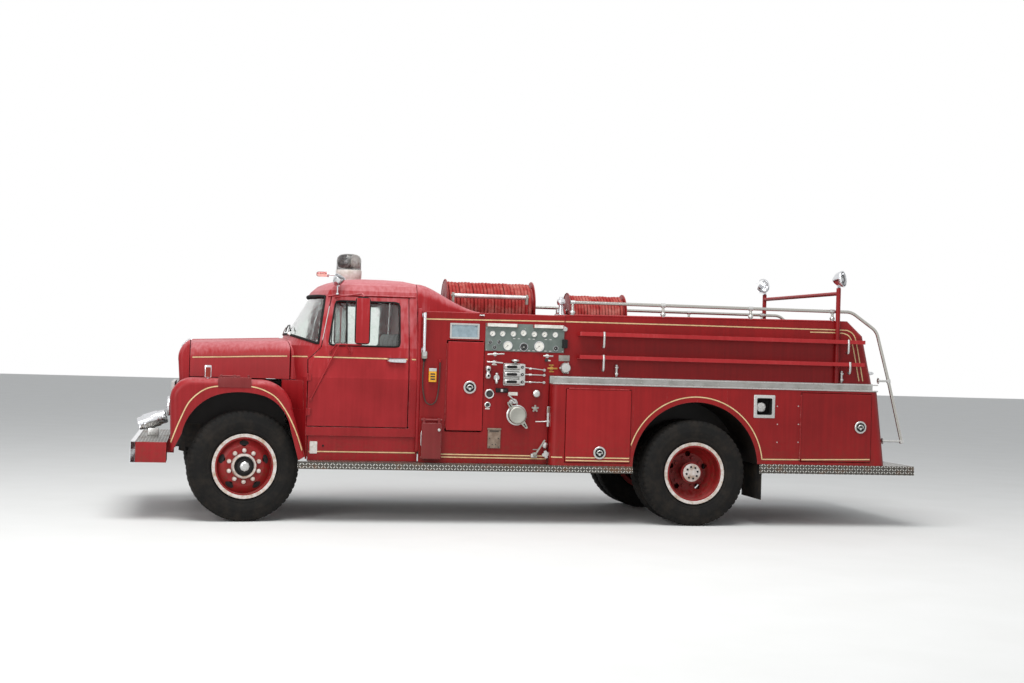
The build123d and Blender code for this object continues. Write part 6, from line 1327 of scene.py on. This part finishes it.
block((2.150, back - 0.084, 1.145), (2.222, back - 0.070, 1.159), 0.005)
for x, z in grid((x0 + 0.015, x1 - 0.015), (z0 + 0.015, z1 - 0.015)):
    lathe([(0, 0.005), (0.002, 0.004), (0.003, 0)], (x, front, z), (0, -1, 0), 10)
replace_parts(piece("fuelFiller", [dullChrome, shadowSteel]), "fuel_filler")
# The cowl's side runs on down behind the fender, clear of the tyre at full lock
for side in (-1, 1):
    rings = []
    for step in range(15):
        t = 0.4 + 0.6 * min(step / 13, 1)
        x, y = -2.3945 + 0.220 * t, 0.735 + 0.19825 * t + 0.03875 * t * t
        if step == 14:
            x, y = -2.157, 0.953
        chord = min((x + 2.6285) / 0.906, 0.504)
        foot = max(0.505 + math.sqrt(0.505 ** 2 - chord ** 2), 0.572)
        corners = ((-0.001, foot), (-0.001, 1.0305), (-0.003, 1.0305), (-0.003, foot))
        rings.append([form.verts.new((x, side * (y + inset), z)) for inset, z in corners])
    bridge(rings)
    for end in (rings[0], rings[-1]):
        form.faces.new(end)
piece("cowlAprons", cabEnamel, "root")
deckZ = topOf(("bumper_platform",), -3.60, 0.75) + 0.0001
for low, high in ((-1.10, -0.392), (-0.388, 0.388), (0.392, 1.10)):
    block((-3.722, low, deckZ), (-3.425, high, deckZ + 0.0003), 0)
piece("bumperDeckPlates", treadMetal, "root")
# Nozzle parked in its holder between the two reels
foot = topOf(("pump_house", "hose_body"), 0.262, -0.74)
block((0.205, -0.775, foot), (0.320, -0.705, foot + 0.008), 0.002)
lathe([(0, 0.030), (0.020, 0.026), (0.050, 0.021), (0.085, 0.021), (0.095, 0.036), (0.120, 0.043), (0.145, 0.036),
       (0.155, 0.020), (0.170, 0.017), (0.172, 0)], (0.262, -0.74, foot + 0.008), upward, 28)
block((0.215, -0.765, foot + 0.008), (0.238, -0.715, foot + 0.060), 0.004)
piece("parkedNozzle", [chrome])
# Step plate and knob on the kick panels
for side in (-1, 1):
    hit = skinPoint(("kick_panels",), -2.098, 0.68, side)
    y = hit[0].y
    slab(boxPoints(-2.133, -2.064, 0.623, 0.736, 0.006), y + side * 0.004, -side * 0.0038, 0, 0.001)
    lathe([(0, 0.008), (0.004, 0.010), (0.010, 0.008), (0.011, 0)], (-2.010, y, 0.697), (0, side, 0), 16, 1)
piece("kickPlates", [whiteEnamel, handleRubber], "root")
# Hinged bracket on the edge of each front fender
for side in (-1, 1):
    block((-2.985, side * 1.122, 1.222), (-2.689, side * 1.150, 1.314), 0.003)
    pipe([(-2.975, side * 1.128, 1.322), (-2.79, side * 1.128, 1.322)], 0.009, 0, 12)
    for x in (-2.96, -2.84, -2.715):
        lathe([(1.300, 0), (1.300, 0.011), (1.334, 0.011), (1.337, 0)], (x, side * 1.128, 0), upward, 14)
    for x in (-2.975, -2.70):
        block((x - 0.008, side * 1.07, 1.262), (x + 0.008, side * 1.13, 1.300), 0.002)
piece("fenderBrackets", brownRed)
print("body trimmed")


# ---- tail, nose and gaps ----
for side in (-1, 1):
    for y, z, radius, finish in ((0.98, 0.86, 0.050, 1), (0.98, 0.99, 0.036, 2)):
        x = endOf(("side_box_left", "side_box_right", "rear_panel"), side * y, z)
        lathe([(-0.012, radius * 0.98), (0.006, radius), (0.014, radius), (0.019, radius * 0.94),
               (0.019, radius * 0.86)], (x, side * y, z), (1, 0, 0.14), 36)
        lathe([(0.018, radius * 0.87), (0.026, radius * 0.6), (0.030, 0)], (x, side * y, z), (1, 0, 0.14), 36, finish)
    ends = [endOf(("hose_body",), side * 0.95, z) for z in (1.50, 1.84)]
    pipe([(ends[0], side * 0.95, 1.50), (ends[0] + 0.05, side * 0.95, 1.51), (ends[1] + 0.05, side * 0.95, 1.83),
          (ends[1], side * 0.95, 1.84)], 0.0125, 0.03, 14)
piece("tailLampsAndGrips", [chrome, tailLens, markerLens])
slab(boxPoints(2.088, 2.318, 1.043, 1.281, 0.012), 1.1745, -0.004, 0, 0.001)
for x, z in [(x, z) for x in (2.100, 2.203, 2.306) for z in (1.055, 1.162, 1.269) if (x, z) != (2.203, 1.162)]:
    lathe([(0, 0.006), (0.0025, 0.005), (0.0035, 0)], (x, 1.1745, z), (0, 1, 0), 12, 1)
piece("blankingPlate", [boxEnamel, dullChrome])
# Bright moulding down the middle of the nose
nose = [(endOf(("nose_panel",), 0.03, z, 1), 0, z) for z in (1.575, 1.60, 1.62)]
crown = [(x, 0, topOf(("nose_panel", "hood_left"), x, -0.03)) for x in (-3.31, -3.285, -3.26, -3.235)]
pipe([point for point in nose + crown if None not in point], 0.015, 0, 12)
piece("noseMoulding", chrome)
# Lips in the cab's enamel that close the gap behind each cab door
for side in (-1, 1):
    rings = []
    for z in [0.886 + 0.0602 * i for i in range(21)]:
        hit = skinPoint(("cab_shell",), -1.205, z, side)
        y = hit[0].y - side * 0.001
        corners = ((-1.2262, y), (-1.2178, y), (-1.2178, y - side * 0.03), (-1.2262, y - side * 0.03))
        rings.append([form.verts.new((px, py, z)) for px, py in corners])
    bridge(rings)
    for end in (rings[0], rings[-1]):
        form.faces.new(end)
piece("doorPostLips", cabEnamel)
print("tail and nose trimmed")


# ---- seat ----
# A bench of vinyl over springs: its frame, and two cushions blown up as cloth with sewn channels pressed in
bench = {"voxel": 0.011, "pressure": 4.0, "cap": 0.024, "inset": 0.017, "frames": 20, "channels": (-0.42, 0, 0.42),
         "channelDepth": 0.011, "channelWidth": 0.016}


def frozenMesh(target):
    # the piece's mesh with its modifiers worked in
    seen = target.evaluated_get(bpy.context.evaluated_depsgraph_get())
    mesh = bpy.data.meshes.new_from_object(seen)
    target.modifiers.clear()
    target.data = mesh


def cushion(name, low, high, face):
    low, high, inset = Vector(low), Vector(high), Vector((1, 1, 1)) * bench["inset"]
    block(low + inset, high - inset, 0.018)
    made = piece(name, seatVinyl, "root", soften=True)
    remesh = made.modifiers.new("remesh", "REMESH")
    remesh.mode, remesh.voxel_size, remesh.use_smooth_shade = "VOXEL", bench["voxel"], True
    frozenMesh(made)
    before = [v.co.copy() for v in made.data.vertices]
    cloth = made.modifiers.new("cloth", "CLOTH")
    cloth.settings.quality = 4
    cloth.settings.use_pressure = True
    cloth.settings.uniform_pressure_force = bench["pressure"]
    cloth.settings.effector_weights.gravity = 0
    for number in range(1, bench["frames"] + 1):
        scene.frame_set(number)
        bpy.context.view_layer.update()
    seen = made.evaluated_get(bpy.context.evaluated_depsgraph_get())
    after = [v.co.copy() for v in seen.data.vertices]
    made.modifiers.clear()
    scene.frame_set(1)
    for vertex, was, now in zip(made.data.vertices, before, after):
        shift = now - was
        if shift.length > bench["cap"]:
            shift *= bench["cap"] / shift.length
        place = was + shift
        if face == 2:
            place.z = max(place.z, low.z)
        reach = (place[face] - (low + high)[face] / 2) * (1 if face == 2 else -1)
        if reach > 0:
            dip = sum(math.exp(-((place.y - y) / bench["channelWidth"]) ** 2) for y in bench["channels"])
            place[face] -= bench["channelDepth"] * dip * (1 if face == 2 else -1)
        vertex.co = place
    made.modifiers.new("subdivision", "SUBSURF").levels = 1
    frozenMesh(made)
    return made


block((-1.736, -0.790, 0.9455), (-1.286, 0.790, 1.1495), 0.006)
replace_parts(piece("seatFrame", chassisEnamel, "root"), "seat")
for name, low, high, face in (("seatCushion", (-1.756, -0.82, 1.150), (-1.266, 0.82, 1.310), 2),
                              ("backCushion", (-1.326, -0.82, 1.310), (-1.210, 0.82, 1.800), 0)):
    made = cushion(name, low, high, face)
    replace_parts(made, "seat")
print("seat stuffed")


# ---- lamps ----
beacon = {"x": -1.7365, "baseTop": 2.382, "domeTop": 2.5425, "radius": 0.122, "lampRadius": 0.052}
x, z = beacon["x"], beacon["baseTop"]
lathe([(2.262 - z, 0), (2.262 - z, 0.118), (2.30 - z, 0.122), (2.305 - z, 0.126), (2.36 - z, 0.128), (-0.004, 0.128),
       (0, 0.1225), (0, 0)], (x, 0, z), upward, 48)
for bolt in range(6):
    t = math.radians(60 * bolt + 15)
    lathe(disc(0.006, 0.007), (x + 0.118 * math.cos(t), 0.118 * math.sin(t), 2.30), upward, 8)
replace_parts(piece("beaconBase", whiteEnamel), "lamps")
outer = [(0.001, 0.1215), (0.09, 0.1205), (0.118, 0.116), (0.138, 0.103), (0.150, 0.083), (0.157, 0.05), (0.1595, 0)]
inner = [(a - 0.003, max(r - 0.004, 0)) for a, r in outer]
lathe([(0.001, 0.1175)] + outer + inner[::-1][:-1] + [(0.001, 0.1175)], (x, 0, z), upward, 56)
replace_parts(piece("beaconDome", domeGlass, "root", soften=True), "beacon_dome")
lathe([(0, 0.09), (0.012, 0.09), (0.012, 0.02), (0.05, 0.018), (0.05, 0)], (x, 0, z), upward, 32)
for heading in (-1, 1):
    out = Vector((heading * 0.8, -0.6, 0)).normalized()
    centre = Vector((x, 0, z + 0.078)) + out * 0.028
    lathe([(-0.03, 0), (-0.028, 0.018), (-0.012, 0.038), (0.012, beacon["lampRadius"]), (0.02, beacon["lampRadius"]),
           (0.02, beacon["lampRadius"] - 0.004)], centre, out, 32)
    lathe([(0.018, beacon["lampRadius"] - 0.004), (0.03, 0.03), (0.034, 0)], centre, out, 32, 1 if heading > 0 else 2)
    lathe([(0.0, 0), (0.001, 0.012), (0.02, 0.014), (0.0205, 0)], centre, out, 12)
piece("beaconLamps", [greyPaint, whiteEnamel, redLens])


def headLamp(centre, axis, radius):
    lathe([(-0.03, radius * 0.8), (-0.012, radius), (0.006, radius * 1.04), (0.016, radius * 1.0),
           (0.018, radius * 0.9), (0.012, radius * 0.86)], centre, axis, 40)
    lathe([(0.011, radius * 0.87), (0.020, radius * 0.6), (0.026, 0)], centre, axis, 40, 1)
    lathe([(-0.028, radius * 0.3), (0.0, radius * 0.7), (0.009, radius * 0.86)], centre, axis, 32)


for side in (-1, 1):
    headLamp((frontAxleX - 0.652, side * 0.80, 1.03), (-1, 0, 0), 0.088)
piece("headLamps", [chrome, clearLens])

# Floodlights: a deep bowl on a stalk, tilted by hand
floods = (
    # foot on the post, middle of the bowl, where it looks, radius
    ((2.9755, -1.058, 2.335), (3.000, -1.05, 2.425), (0.62, -0.6, 0.12), 0.080),
    ((2.9755, 1.058, 2.335), (2.950, 1.05, 2.425), (-0.60, -0.6, 0.22), 0.080),
)


def flood(foot, middle, looks, radius):
    middle, looks = Vector(middle), Vector(looks).normalized()
    lathe([(-0.085, 0), (-0.083, 0.016), (-0.07, 0.034), (-0.04, radius * 0.78), (0.0, radius * 0.96),
           (0.012, radius), (0.022, radius * 1.03), (0.028, radius), (0.026, radius * 0.9)], middle, looks, 36)
    lathe([(0.024, radius * 0.9), (0.036, radius * 0.5), (0.040, 0)], middle, looks, 36, 1)
    back = middle - looks * 0.05
    pipe([foot, Vector(foot).lerp(back, 0.5) + Vector((0, 0, 0.005)), back], 0.009, 0.02, 10)
    lathe(rod(-0.014, 0.014, 0.014), Vector(foot) + Vector((0, 0, 0.012)), rearward, 16)


for number, values in enumerate(floods):
    flood(*values)
    piece("pylonLamp_" + str(number + 1), [chrome, clearLens])
print("lamps built")


# ---- stage ----
floorMesh = bpy.data.meshes.new("floor")
floorMesh.from_pydata([(-40, -30, 0), (40, -30, 0), (40, 60, 0), (-40, 60, 0)], [], [(0, 1, 2, 3)])
floorFinish, tree, shader, place = newFinish("matt studio floor, pale", Roughness=0.9)
mottle = addNode(tree, "TexNoise", {"Vector": place, "Scale": 1.5, "Detail": 6})
pale = addNode(tree, "Mix", {0: mottle.outputs[0], 6: paint("#e6e6e4"), 7: paint("#dededb")}, data_type="RGBA")
tree.links.new(pale.outputs[2], shader.inputs["Base Color"])
floorMesh.materials.append(floorFinish)
floor = bpy.data.objects.new("floor", floorMesh)
link(floor)

world = bpy.data.worlds.new("studio")
scene.world = world
world.use_nodes = True
tree = world.node_tree
tree.nodes.clear()
rays = addNode(tree, "LightPath")
direct = addNode(tree, "Math", {0: rays.outputs["Is Camera Ray"], 1: rays.outputs["Is Transmission Ray"]},
                 operation="MAXIMUM")
shown = addNode(tree, "Math", {0: direct.outputs[0], 1: rays.outputs["Is Glossy Ray"]}, operation="MAXIMUM")
soft = addNode(tree, "Background", {0: (0.93, 0.96, 1.0, 1), 1: 0.50})
white = addNode(tree, "Background", {0: (1, 1, 1, 1), 1: 1.0})
blend = addNode(tree, "MixShader", {0: shown.outputs[0], 1: soft.outputs[0], 2: white.outputs[0]})
addNode(tree, "OutputWorld", {0: blend.outputs[0]})


def softLamp(name, place, aim, size, power):
    data = bpy.data.lights.new(name, "AREA")
    data.shape, data.size, data.energy = "DISK", size, power
    lamp = bpy.data.objects.new(name, data)
    lamp.location = place
    lamp.rotation_mode = "QUATERNION"
    lamp.rotation_quaternion = (Vector(aim) - Vector(place)).to_track_quat("-Z", "Y")
    link(lamp)


softLamp("overheadSoftbox", (-2, -5, 11), upward, 9, 1150)
softLamp("sideSoftbox", (-9, -12, 5), (0, 0, 1.2), 6, 520)
print("stage lit")
